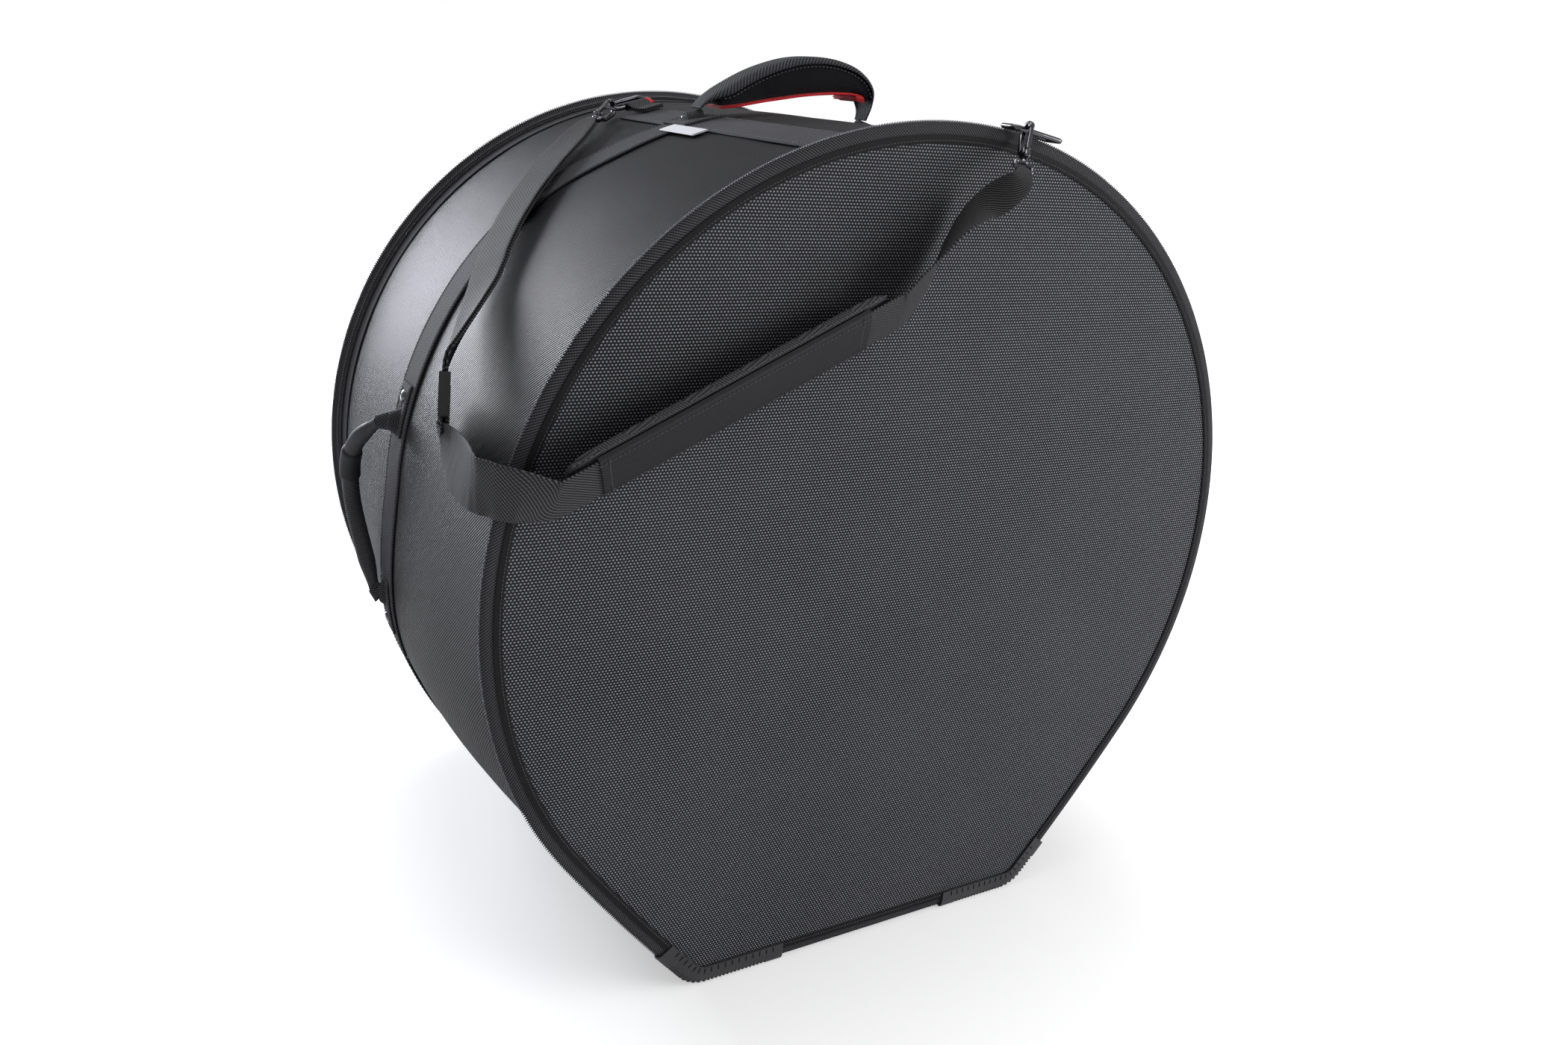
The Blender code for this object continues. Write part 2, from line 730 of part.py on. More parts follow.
def build_slider(name, angle, coil_top):
    """Slider with a top plate, a skirt before the coils, and an arch for its pull."""
    hold(name, (0, ZIP_Y, 0), "bag")
    frame = slider_frame(angle, coil_top + GAP)
    top = plate(name, frame, rectangle(SLIDER_LENGTH / 2, SLIDER_WIDTH / 2), 0, SLIDER_PLATE,
                dark_metal(), name)
    near, far = ZIP_COIL_WIDTH + 2 * GAP, SLIDER_WIDTH / 2
    half = SLIDER_LENGTH / 2
    end, side = half - GAP, far - GAP
    outline = [(-end, -side), (end, -side), (end, -near), (-end, -near)]
    skirt = plate(name + "_skirt", frame, outline, -ZIP_COIL, SLIDER_PLATE / 2, dark_metal(), name)
    turn = frame.to_3x3()
    profile = frame_at(frame.translation, turn @ Vector((1, 0, 0)), turn @ Vector((0, 0, 1)))
    low, bar = SLIDER_PLATE / 2, ARCH_BAR
    rise = SLIDER_PLATE + ARCH_OPENING + bar
    leg = half - bar
    outline = [(-leg, low), (-leg, rise), (leg, rise), (leg, low),
               (leg - bar, low), (leg - bar, rise - bar), (bar - leg, rise - bar), (bar - leg, low)]
    arch = plate(name + "_arch", profile, outline, -ARCH_WIDTH / 2, ARCH_WIDTH / 2, dark_metal(), name)
    fuse(top, [skirt, arch])
    return frame


def build_pull(name, slider, frame):
    """Plate that hangs from the slider's arch by a slot near its end."""
    reach = SLIDER_LENGTH / 2 - 2 * ARCH_BAR - PULL_RIM - GAP
    pivot = frame @ Vector((reach, 0, SLIDER_PLATE + ARCH_OPENING / 2))
    hold(name, pivot, slider)
    hang = frame_at(pivot, (0, 0, -1), (0, 1, 0))
    middle = PULL_LENGTH / 2 - PULL / 2
    face = hang @ Matrix.Translation((middle, 0, 0))
    corner = PULL / 2
    body = plate(name, face, rounded(PULL_LENGTH / 2, PULL_WIDTH / 2, corner, 2), -PULL / 2, PULL / 2,
                 dark_metal(), name)
    half = ARCH_WIDTH / 2 + GAP
    outline = [(PULL_RIM, -half), (PULL_SLOT, -half), (PULL_SLOT, half), (PULL_RIM, half)]
    cutter = plate(name + "_slot", hang, outline, -PULL, PULL, dark_metal(), name)
    cut = body.modifiers.new("slot", "BOOLEAN")
    cut.operation = "DIFFERENCE"
    cut.solver = "EXACT"
    cut.object = cutter
    cutter.hide_render = True
    cutter.display_type = "WIRE"


def build_sliders(coil_top):
    for side, angle in zip(("left", "right"), SLIDER_ANGLES):
        slider = "zip_slider_" + side
        frame = build_slider(slider, angle, coil_top)
        build_pull("zip_pull_" + side, slider, frame)


# Corner guards

def offset_path(points, distance):
    """Path beside an open path, at a distance to its left."""
    result = []
    for index, (a, b) in enumerate(points):
        normals = []
        for first, last in ((index - 1, index), (index, index + 1)):
            if first < 0 or last >= len(points):
                continue
            da = points[last][0] - points[first][0]
            db = points[last][1] - points[first][1]
            length = math.hypot(da, db)
            normals.append((-db / length, da / length))
        na = sum(normal[0] for normal in normals) / len(normals)
        nb = sum(normal[1] for normal in normals) / len(normals)
        size = na * na + nb * nb
        result.append((a + na * distance / size, b + nb * distance / size))
    return result


def guard_section(face, inwards):
    """C section round the binding, from the panel over the crest to the lip."""
    crest = BINDING_CREST + GAP
    first = BINDING_SHARES[0][1] * BINDING_CREST
    width = BINDING_WIDTH
    path = [
        (-GAP, -GUARD_FLANGE), (-GAP, first), (first / 4, crest), (width / 2, crest),
        (BINDING_SHARES[-1][0] * width + GAP, GUARD_LIP),
    ]
    outer = offset_path(path, GUARD_WALL)
    points = path + outer[::-1]
    return [(face + inwards * y, out) for y, out in points]


def guard_angles():
    reach = GUARD_BASE_REACH / corner_centre()[0]
    end = corner_angle()
    start = FLANK_ANGLE + (end - FLANK_ANGLE) * (1 - GUARD_FLANK_ANGLE_SHARE)
    inner = [angle for angle in half_stations() if angle > start]
    return [start] + inner + [180.0 + reach]


def build_guards():
    for face_name, face, inwards, holder in (("front", FRONT, 1, "bag"), ("back", BACK, -1, "lid")):
        section = guard_section(face, inwards)
        for side, sign in (("left", -1), ("right", 1)):
            angles = [sign * angle for angle in guard_angles()]
            name = "corner_guard_" + face_name + "_" + side
            sweep(name, angles, section, guard_plastic(), holder)


# Webs on the wall

def web_section(low, high):
    return [(low, GAP), (high, GAP), (high, GAP + WEB), (low, GAP + WEB)]


def centre_web_section(angle):
    first, last = CENTRE_WEB_SHIFT_ANGLES
    share = 1 - smoothstep((abs(angle) - first) / (last - first))
    shift = CENTRE_WEB_SHIFT * share
    return web_section(CENTRE_WEB_LOW - shift, CENTRE_WEB_HIGH - shift)


def web_half_angle(width):
    return math.degrees(width / 2 / BAG_RADIUS)


def build_webs():
    edge = CROSS_WEB_ANGLE + web_half_angle(WEB_WIDTH)
    apart = math.degrees(GAP / BAG_RADIUS)
    sweep("centre_web", down_and_up(edge + apart), centre_web_section, black_web(), "bag")
    section = web_section(FRONT + BINDING_WIDTH + GAP, CROSS_WEB_BACK)
    for side, sign in (("left", -1), ("right", 1)):
        angles = between(sign * (CROSS_WEB_ANGLE - web_half_angle(WEB_WIDTH)), sign * edge)
        sweep("cross_web_" + side, angles, section, black_web(), "bag")


# Top handle

def handle_curve():
    half = BAG_RADIUS * math.sin(math.radians(CROSS_WEB_ANGLE))
    base = handle_pivot_height()
    rows = [(half * x, 0.0, base + HANDLE_RISE * rise) for x, rise in HANDLE_SHARES]
    points = curve_through(rows, 2 * half / HANDLE_STEPS)
    return [Vector((x, HANDLE_Y, z)) for x, _, z in points]


def foot_top():
    """Height over the wall of a foot patch's upper face."""
    return GAP + WEB + GAP + WEB


def handle_pivot_height():
    turn = math.radians(CROSS_WEB_ANGLE)
    return (BAG_RADIUS + foot_top()) * math.cos(turn)


def handle_rows(curve, inner, outer, width, taper):
    """Rows of a band between two depths below the handle's outer curve."""
    rows = []
    last = len(curve) - 1
    for index, point in enumerate(curve):
        before, after = curve[max(index - 1, 0)], curve[min(index + 1, last)]
        along = (after - before).normalized()
        down = along.cross(Vector((0, 1, 0)))
        down = -down if down.dot(point - Vector((0, HANDLE_Y, 0))) > 0 else down
        share = index / last
        depth_low, depth_high = inner(share), outer(share)
        half = (HANDLE_END_WIDTH + (width - HANDLE_END_WIDTH) * taper(share)) / 2
        side = Vector((0, half, 0))
        upper, lower = point + down * depth_low, point + down * depth_high
        rows.append([upper - side, upper + side, lower + side, lower - side])
    return rows


def build_top_handle():
    hold("top_handle", (0, HANDLE_Y, handle_pivot_height()), "bag")
    curve = handle_curve()

    def swell(share):
        return math.sin(math.pi * share) ** 0.8

    def widening(share):
        return smoothstep(min(share, 1 - share) * 7)

    def pad_depth(share):
        return WEB + GAP + HANDLE_PAD * swell(share)

    web = handle_rows(curve, lambda share: 0, lambda share: WEB, HANDLE_WIDTH, widening)
    loft("top_handle_web", web, black_web(), "top_handle")
    middle = curve[2:-2]

    def inner_share(share):
        return (2 + share * (len(middle) - 1)) / (len(curve) - 1)

    pad = handle_rows(middle, lambda share: WEB + GAP, lambda share: pad_depth(inner_share(share)),
                      HANDLE_PAD_WIDTH, lambda share: widening(inner_share(share)))
    loft("top_handle_pad", pad, foam(), "top_handle")
    lining = handle_rows(middle, lambda share: pad_depth(inner_share(share)) + GAP,
                         lambda share: pad_depth(inner_share(share)) + GAP + HANDLE_LINING,
                         HANDLE_PAD_WIDTH, lambda share: widening(inner_share(share)))
    loft("top_handle_lining", lining, red_mesh(), "top_handle")


def build_feet():
    """Patches on the cross webs, each with a fold under the handle's end and a rivet."""
    low = GAP + WEB + GAP
    half_angle = web_half_angle(WEB_WIDTH)
    for side, sign in (("left", -1), ("right", 1)):
        angles = between(sign * (CROSS_WEB_ANGLE - half_angle), sign * (CROSS_WEB_ANGLE + half_angle))
        near, far = HANDLE_Y - FOOT_LENGTH / 2, HANDLE_Y + FOOT_LENGTH / 2
        section = [(near, low), (far, low), (far, low + WEB), (near, low + WEB)]
        foot = sweep("handle_foot_" + side, angles, section, black_web(), "bag")
        fold = build_fold("handle_fold_" + side, sign * CROSS_WEB_ANGLE, HANDLE_Y,
                          FOOT_FOLD_RADIUS, FOOT_FOLD_LENGTH)
        rivet_place = HANDLE_Y + (FOOT_LENGTH / 2 + FOOT_FOLD_RADIUS) / 2
        rivet = build_rivet("handle_rivet_" + side, sign * CROSS_WEB_ANGLE, rivet_place, foot_top())
        fuse(foot, [fold, rivet])


def wall_frame(angle, y, out):
    """Frame on the wall: round the drum, along the depth, and inwards or outwards."""
    step = 0.5
    here = wall_point(angle, y, out)
    ahead = wall_point(angle + step, y, out)
    frame = frame_at(here, ahead - here, (0, 1, 0))
    outwards = wall_point(angle, y, out + GAP) - here
    if (frame.to_3x3() @ Vector((0, 0, 1))).dot(outwards) < 0:
        frame = frame_at(here, here - ahead, (0, 1, 0))
    return frame


def build_fold(name, angle, y, radius, length):
    """Half-round fold that rises from a patch, with its axis round the drum."""
    frame = wall_frame(angle, y, foot_top())
    turn = frame.to_3x3()
    profile = frame_at(frame.translation, turn @ Vector((0, 1, 0)), turn @ Vector((0, 0, 1)))
    sink = WEB / 2
    outline = arc(0, 0, radius, 0, 180, 8) + [(-radius, -sink), (radius, -sink)]
    return plate(name, profile, outline, -length / 2, length / 2, black_web(), "bag", smooth=40)


def build_rivet(name, angle, y, out):
    """Rivet's head, with its foot sunk in the web that it holds."""
    frame = wall_frame(angle, y, out - WEB / 2)
    levels = ((1.0, 0.0), (0.9, 0.75), (0.45, 1.0))
    rows = []
    for share, height in levels:
        ring = arc(0, 0, RIVET_RADIUS * share, 0, 315, 7)
        rows.append([frame @ Vector((a, b, (RIVET_HEIGHT + WEB / 2) * height)) for a, b in ring])
    return loft(name, rows, dark_metal(), "bag")


# Side handles

def grip_point(side, share, lean, rise):
    first, last = GRIP_ANGLES
    angle = side * (first + (last - first) * share)
    middle = (CENTRE_WEB_LOW + CENTRE_WEB_HIGH) / 2
    return wall_point(angle, middle + GRIP_LEAN * lean, GRIP_RISE * rise + foot_top())


def build_side_handle(name, side):
    first, last = GRIP_ANGLES
    middle = (CENTRE_WEB_LOW + CENTRE_WEB_HIGH) / 2
    rise = foot_top()
    top = wall_point(side * first, middle, rise)
    bottom = wall_point(side * last, middle, rise)
    hold(name, (top + bottom) / 2, "bag")
    controls = [tuple(grip_point(side, *row)) for row in GRIP_SHARES]
    length = sum(math.dist(a, b) for a, b in zip(controls, controls[1:]))
    path = [Vector(row) for row in curve_through(controls, length / 16)]
    radii = []
    for index in range(len(path)):
        share = index / (len(path) - 1)
        radii.append(GRIP_RADIUS * (0.62 + 0.38 * smoothstep(min(share, 1 - share) * 6)))
    tube(name + "_grip", path, radii, 10, black_web(), name)
    start, end = (round(share * (len(path) - 1)) for share in COVER_SHARES)
    build_cover(name + "_cover", path[start:end + 1], radii[start], name)
    for place, angle in (("top", first), ("bottom", last)):
        build_tab(name + "_tab_" + place, side, angle, 1 if place == "top" else -1)


def build_cover(name, path, radius, holder):
    """Open-ended wrap round the middle of a grip."""
    inner = radius + GAP
    outer = inner + COVER_WALL
    sides = 12
    rows_outer, rows_inner = [], []
    side = None
    for index, point in enumerate(path):
        before = path[max(index - 1, 0)]
        after = path[min(index + 1, len(path) - 1)]
        along = (after - before).normalized()
        side = along.orthogonal() if side is None else side
        side = (side - along * side.dot(along)).normalized()
        across = along.cross(side)
        for rows, size in ((rows_outer, outer), (rows_inner, inner)):
            size = size / math.cos(math.pi / sides)
            turns = [2 * math.pi * corner / sides for corner in range(sides)]
            rows.append([point + size * (side * math.cos(turn) + across * math.sin(turn)) for turn in turns])
    rows = rows_outer + rows_inner[::-1]
    loft(name, rows, wall_cloth(), holder, closed=True, smooth=40)


def build_tab(name, side, angle, towards):
    """Folded web on the centre web under one end of a grip, with its rivet."""
    middle = (CENTRE_WEB_LOW + CENTRE_WEB_HIGH) / 2
    low = GAP + WEB + GAP
    reach = math.degrees(TAB_LENGTH / BAG_RADIUS)
    far = angle - towards * reach * 0.75
    near = angle + towards * reach * 0.25
    angles = between(side * far, side * near)
    half = TAB_WIDTH / 2
    left, right, top = middle - half, middle + half, low + WEB
    section = [(left, low), (right, low), (right, top), (left, top)]
    tab = sweep(name, angles, section, black_web(), "bag")
    height = GUSSET_HEIGHTS[0] if towards > 0 else GUSSET_HEIGHTS[1]
    frame = wall_frame(side * angle, middle, foot_top())
    turn = frame.to_3x3()
    profile = frame_at(frame.translation, turn @ Vector((1, 0, 0)), turn @ Vector((0, 0, 1)))
    outline = [(-GUSSET_BASE / 2, -WEB / 2), (GUSSET_BASE / 2, -WEB / 2), (GUSSET_TOP / 2, height),
               (-GUSSET_TOP / 2, height)]
    fold = plate(name + "_fold", profile, outline, -GUSSET / 2, GUSSET / 2, black_web(), "bag")
    rivet = build_rivet(name + "_rivet", side * (angle - towards * reach / 2), middle, foot_top())
    fuse(tab, [fold, rivet])


# Rings and their loops

def ring_frame(angle, y, rise, yaw, lift, towards):
    """Frame at the middle of the looped bar: along the bar, towards the free bar, and across."""
    turn, yaw, lift = (math.radians(value) for value in (angle, yaw, lift))
    tangent = Vector((math.cos(turn), 0, -math.sin(turn)))
    outwards = Vector((math.sin(turn), 0, math.cos(turn)))
    depth = Vector((0, 1, 0))
    along = tangent * math.cos(yaw) + depth * math.sin(yaw)
    free = (depth * math.cos(yaw) - tangent * math.sin(yaw)) * towards
    point = outwards * (BAG_RADIUS + rise) + depth * y
    return frame_at(point, along, free * math.cos(lift) + outwards * math.sin(lift)), outwards


def build_ring(name, frame):
    hold(name, frame.translation, "bag")
    half_a = RING_LENGTH / 2 - RING_WIRE
    half_b = RING_WIDTH / 2 - RING_WIRE
    outline = rounded(half_a, half_b, RING_CORNER - RING_WIRE)
    path = [frame @ Vector((a, b + half_b, 0)) for a, b in outline]
    tube(name, path, RING_WIRE, 8, dark_metal(), name, closed=True)


def build_loop(name, frame, outwards, shares, length, drop, low, high, material):
    """Web folded round a ring's bar, with both layers of its tail laid down on the wall."""
    along = frame.to_3x3() @ Vector((1, 0, 0))
    back = along.cross(outwards)
    back = -back if back.dot(frame.to_3x3() @ Vector((0, 1, 0))) > 0 else back
    profile = frame_at(frame.translation, back, outwards)
    flip = -1 if (profile.to_3x3() @ Vector((0, 0, 1))).dot(along) < 0 else 1
    half = (WEB + GAP) / 2
    fold = RING_WIRE + GAP + WEB / 2
    tail = [(a * length, b * drop) for a, b in shares]
    upper = offset_path(tail, half)
    lower = offset_path(tail, -half)
    bend = arc(0, 0, fold, 60, 300, 6)
    path = upper[::-1] + bend + lower
    outline = offset_path(path, WEB / 2) + offset_path(path, -WEB / 2)[::-1]
    ends = sorted((flip * low, flip * high))
    plate(name, profile, outline, ends[0], ends[1], material, "bag", smooth=35)


def build_rings():
    front, front_up = ring_frame(FRONT_RING_ANGLE, FRONT + FRONT_RING_INSET, FRONT_RING_RISE,
                                 FRONT_RING_YAW, FRONT_RING_LIFT, -1)
    back, back_up = ring_frame(BACK_RING_ANGLE, BACK_RING_Y, BACK_RING_RISE, BACK_RING_YAW, BACK_RING_LIFT, 1)
    build_ring("ring_front", front)
    build_ring("ring_back", back)
    half = RING_TAB_WIDTH / 2
    build_loop("ring_loop_front", front, front_up, FRONT_TAB_SHARES, FRONT_TAB_LENGTH, FRONT_TAB_DROP,
               -half, half, black_web())
    build_loop("ring_loop_back", back, back_up, BACK_TAB_SHARES, BACK_TAB_LENGTH, BACK_TAB_DROP,
               -half, half, black_web())
    build_loop("red_tag", back, back_up, BACK_TAB_SHARES[:2], BACK_TAB_LENGTH, BACK_TAB_DROP,
               half + GAP, half + GAP + RED_TAG_WIDTH, red_mesh())
    return front, back, back_up


# Snap hooks

def build_hook(name, wire, aim, gate_side, seat):
    """Hook on a ring's wire, with its gate and its swivel eye; returns the eye's bar."""
    reach = HOOK_NOSE_CENTRE + HOOK_HOLE_HALF - RING_WIRE - seat
    frame = frame_at(Vector(wire), aim, gate_side)
    frame.translation = frame.translation - frame.to_3x3() @ Vector((reach, 0, 0))
    hold(name, frame.translation, "bag")
    notch = HOOK_BASE_HALF - 2 * GATE_BOSS - 2 * GAP
    lip = HOOK_NOSE_CENTRE - HOOK_NOSE_LIP
    boss_low = GATE_PIVOT - GATE_BOSS - GAP
    outline = [(HOOK_BASE, -HOOK_BASE_HALF), (boss_low, -HOOK_BASE_HALF), (HOOK_HOLE_LOW, -HOOK_HALF_WIDTH)]
    outline += arc(HOOK_NOSE_CENTRE, 0, HOOK_HALF_WIDTH, -90, 90, 10)
    outline += [(lip, HOOK_HALF_WIDTH), (lip, HOOK_HOLE_HALF)]
    outline += arc(HOOK_NOSE_CENTRE, 0, HOOK_HOLE_HALF, 90, -90, 8)
    outline += [(HOOK_HOLE_LOW, -HOOK_HOLE_HALF), (HOOK_HOLE_LOW, notch), (boss_low, notch),
                (boss_low, HOOK_BASE_HALF), (HOOK_BASE, HOOK_BASE_HALF)]
    plate(name, frame, outline, -HOOK_PLATE / 2, HOOK_PLATE / 2, dark_metal(), name)
    build_gate(name + "_gate", name, frame)
    half = EYE_DROP / 2
    loop = rounded(half, EYE_HALF_WIDTH, EYE_CORNER)
    path = [frame @ Vector((a - half, 0, b)) for a, b in loop]
    eye = tube(name + "_eye", path, EYE_WIRE, 8, dark_metal(), "bag", closed=True)
    stem = tube(name + "_stem", [frame.translation, frame @ Vector((HOOK_BASE - GAP, 0, 0))],
                STEM_RADIUS, 12, dark_metal(), "bag")
    fuse(eye, [stem])
    return frame


def build_gate(name, hook, frame):
    """Gate beside the hook's opening, turning on the boss at its lower end."""
    height = HOOK_BASE_HALF - GATE_BOSS
    pivot = frame @ Vector((GATE_PIVOT, height, 0))
    hold(name, pivot, hook)
    place = frame @ Matrix.Translation((GATE_PIVOT, height, 0))
    rise = HOOK_HALF_WIDTH - GATE_THICKNESS / 2 - height
    lean = math.degrees(math.atan2(rise, GATE_REACH))
    bar = place @ Matrix.Rotation(math.radians(lean), 4, "Z")
    half = GATE_THICKNESS / 2
    outline = arc(0, 0, GATE_BOSS, 60, 300, 8)
    outline += [(GATE_BOSS, -half), (GATE_REACH, -half), (GATE_REACH, half), (GATE_BOSS, half)]
    plate(name, bar, outline, -GATE_WIDTH / 2, GATE_WIDTH / 2, dark_metal(), name)


def build_hooks(front, back, back_up):
    free = RING_WIDTH - 2 * RING_WIRE
    wire = front @ Vector((-FRONT_HOOK_SLIDE, free, 0))
    front_hook = build_hook("hook_front", wire, FRONT_HOOK_AIM, FRONT_HOOK_GATE, FRONT_HOOK_SEAT)
    side = back @ Vector((RING_WIRE - RING_LENGTH / 2, free / 2, 0))
    back_hook = build_hook("hook_back", side, BACK_HOOK_AIM, back_up, BACK_HOOK_SEAT)
    return front_hook, back_hook


# Shoulder strap

def pad_axes():
    slope, tilt = math.radians(PAD_SLOPE), math.radians(PAD_TILT)
    along = Vector((math.cos(slope), 0, math.sin(slope)))
    up = Vector((-math.sin(slope), 0, math.cos(slope)))
    across = up * math.cos(tilt) + Vector((0, -1, 0)) * math.sin(tilt)
    centre = Vector((PAD_X_SHARE * BAG_RADIUS, FRONT - PAD_STANDOFF, PAD_Z_SHARE * BAG_RADIUS))
    return centre, along, across, along.cross(across)


def strap_place(shares):
    x, y, z = shares[:3]
    return Vector((x * BAG_RADIUS, y * HALF_DEPTH, z * BAG_RADIUS))


def strap_row(point, across, width):
    return [*point, *Vector(across).normalized(), width]


def eye_bar(frame):
    """Middle of a hook eye's bar, its direction and the way from it to the strap."""
    turn = frame.to_3x3()
    return frame @ Vector((-EYE_DROP, 0, 0)), turn @ Vector((0, 0, 1)), turn @ Vector((-1, 0, 0))


def back_rows(back_hook):
    """Strap's middle line from the back hook to the end of the slider's straight run."""
    bar, across, away = eye_bar(back_hook)
    outwards = Vector((bar.x, 0, bar.z)).normalized()
    across = -across if away.cross(across).dot(outwards) < 0 else across
    rows = [strap_row(bar, across, STRAP_NECK)]
    rows.append(strap_row(bar + away * STRAP_NECK_LENGTH / 3, across, 2 * STRAP_NECK))
    wall = []
    for angle, share in STRAP_WALL_SHARES:
        turn = math.radians(angle)
        up = Vector((math.sin(turn), 0, math.cos(turn)))
        wall.append((up * (BAG_RADIUS + STRAP_RISE) + Vector((0, share * HALF_DEPTH, 0)), up))
    for index, (point, up) in enumerate(wall):
        ahead = wall[min(index + 1, len(wall) - 1)][0] - wall[max(index - 1, 0)][0]
        rows.append(strap_row(point, up.cross(ahead), STRAP_WIDTH))
    start, end = (strap_place(shares) for shares in STRAP_RUN_SHARES)
    way = (end - start).normalized()
    side = Vector(STRAP_RUN_ACROSS)
    side = side - way * side.dot(way)
    run = []
    for step in range(STRAP_RUN_STEPS + 1):
        run.append(strap_row(start + (end - start) * step / STRAP_RUN_STEPS, side, STRAP_WIDTH))
    return rows, run


def face_of(rows, index):
    """Direction off the strap's face, away from the bag, at one of its points."""
    before, after = rows[max(index - 1, 0)], rows[min(index + 1, len(rows) - 1)]
    along = Vector(after[:3]) - Vector(before[:3])
    return along.cross(Vector(rows[index][3:6])).normalized()


def layer(rows, offset):
    """Stations of one layer, moved off the middle line by an offset that may change along it."""
    stations = []
    for index, row in enumerate(rows):
        shift = offset(index) if callable(offset) else offset
        point = Vector(row[:3]) + face_of(rows, index) * shift
        stations.append((point, Vector(row[3:6]), row[6]))
    return stations


def looped(name, rows, stop):
    """Web round an eye's bar and back: double up to its stop, and single past it."""
    fold = EYE_WIRE + GAP + STRAP / 2
    start = Vector(rows[0][:3])

    def spread(index):
        away = (Vector(rows[index][:3]) - start).length
        near = STRAP_LAYER + (fold - STRAP_LAYER) * (1 - smoothstep(away / (4 * fold)))
        return near * (1 - smoothstep((index - stop) / 3))

    outer = layer(rows, spread)
    inner = layer(rows, lambda index: -spread(index))
    face = face_of(rows, 0)
    back = (start - Vector(rows[1][:3])).normalized()
    across = Vector(rows[0][3:6])
    bend = []
    for turn in range(-60, 61, 30):
        angle = math.radians(turn)
        bend.append((start + (back * math.cos(angle) + face * math.sin(angle)) * fold, across, rows[0][6]))
    ribbon(name, inner[:stop][::-1] + bend + outer, STRAP, black_web(), "bag")


def build_strap(front_hook, back_hook):
    rows, run = back_rows(back_hook)
    curve = curve_through(rows + run[:1], STRAP_STEP)[:-1]
    place = BUCKLE_PLACE_SHARE * (len(run) - 1)
    middle = Vector(run[0][:3]).lerp(Vector(run[-1][:3]), BUCKLE_PLACE_SHARE)
    way = (Vector(run[-1][:3]) - Vector(run[0][:3])).normalized()
    half_gap = way * GAP / 2
    across = run[0][3:6]
    before = run[:math.ceil(place)]
    upper = curve + before + [strap_row(middle - half_gap, across, STRAP_WIDTH)]
    looped("strap_upper", upper, len(upper))
    centre, along, pad_across, out = pad_axes()
    centre = centre + out * (PAD_FRONT + GAP + STRAP / 2)
    corner = [strap_row(strap_place(row), row[3:], STRAP_WIDTH) for row in STRAP_CORNER_SHARES]
    straight = PAD_LENGTH / 2 + PAD_TRAVEL + GAP
    entry = [strap_row(centre - along * straight, pad_across, STRAP_WIDTH)]
    after = run[math.ceil(place):]
    lower = [strap_row(middle + half_gap, across, STRAP_WIDTH)] + after[:-1]
    lower += curve_through(after[-1:] + corner + entry, STRAP_STEP)
    for reach in (straight - STRAP_LEAD, GAP / 2):
        lower.append(strap_row(centre - along * reach, pad_across, STRAP_WIDTH))
    face = Vector(way).cross(Vector(across)).normalized()
    fall = len(after)
    shifts = [STRAP_LAYER * (1 - smoothstep((index - fall) / 3)) for index in range(len(lower))]
    ribbon("strap_lower", layer(lower, lambda index: shifts[index]), STRAP, black_web(), "bag")
    build_buckle(middle, way, Vector(across), face)
    build_tail(middle + half_gap, way, Vector(across), face)
    build_short_strap(front_hook, centre, along, pad_across, straight)


def build_short_strap(front_hook, centre, along, pad_across, straight):
    """Web from the pad's middle to the front hook's eye, with a stitched-back end."""
    bar, across, away = eye_bar(front_hook)
    last = Vector(STRAP_FRONT_SHARES[-1][3:])
    across = -across if across.dot(last) < 0 else across
    rows = []
    for row, share in zip(STRAP_FRONT_SHARES, STRAP_GATHER_SHARES):
        rows.append(strap_row(strap_place(row), row[3:], STRAP_WIDTH * share))
    rows = [strap_row(centre + along * straight, pad_across, STRAP_WIDTH)] + rows
    rows.append(strap_row(bar + away * STRAP_NECK_LENGTH / 3, across, 2 * STRAP_NECK))
    rows.append(strap_row(bar, across, STRAP_NECK))
    curve = curve_through(rows, STRAP_STEP * 0.75)
    for reach in (straight - STRAP_LEAD, GAP / 2):
        curve.insert(0, strap_row(centre + along * reach, pad_across, STRAP_WIDTH))
    curve = curve[::-1]
    stop = 0
    while (Vector(curve[stop][:3]) - bar).length < STRAP_STITCH_BACK:
        stop += 1
    looped("strap_short", curve, stop)


def build_buckle(middle, way, across, face):
    """Slider with two outer bars over the web and its middle bar under it."""
    hold("strap_slider", middle, "bag")
    frame = frame_at(middle, way, across)
    stack = STRAP_LAYER + STRAP / 2
    low = stack + GAP
    high = low + BUCKLE_PLATE
    half = STRAP_WIDTH / 2 + GAP
    rail = frame @ Matrix.Translation((0, half + BUCKLE_RAIL / 2, 0))
    body = plate("strap_slider", rail, rectangle(BUCKLE_LENGTH / 2, BUCKLE_RAIL / 2), -high, high,
                 guard_plastic(), "strap_slider")
    others = []
    rail = frame @ Matrix.Translation((0, -half - BUCKLE_RAIL / 2, 0))
    others.append(plate("slider_rail", rail, rectangle(BUCKLE_LENGTH / 2, BUCKLE_RAIL / 2), -high, high,
                        guard_plastic(), "strap_slider"))
    sign = 1 if (frame.to_3x3() @ Vector((0, 0, 1))).dot(face) > 0 else -1
    inset = (high - low) / 8
    reach = half + BUCKLE_RAIL / 2
    place = (BUCKLE_LENGTH - BUCKLE_BAR) / 2 - inset
    for name, shift, side in (("slider_bar_a", -place, sign), ("slider_bar_b", 0, -sign),
                              ("slider_bar_c", place, sign)):
        bar = frame @ Matrix.Translation((shift, 0, 0))
        ends = sorted((side * low, side * (high - inset)))
        others.append(plate(name, bar, rectangle(BUCKLE_BAR / 2, reach), ends[0], ends[1],
                            guard_plastic(), "strap_slider"))
    fuse(body, others)


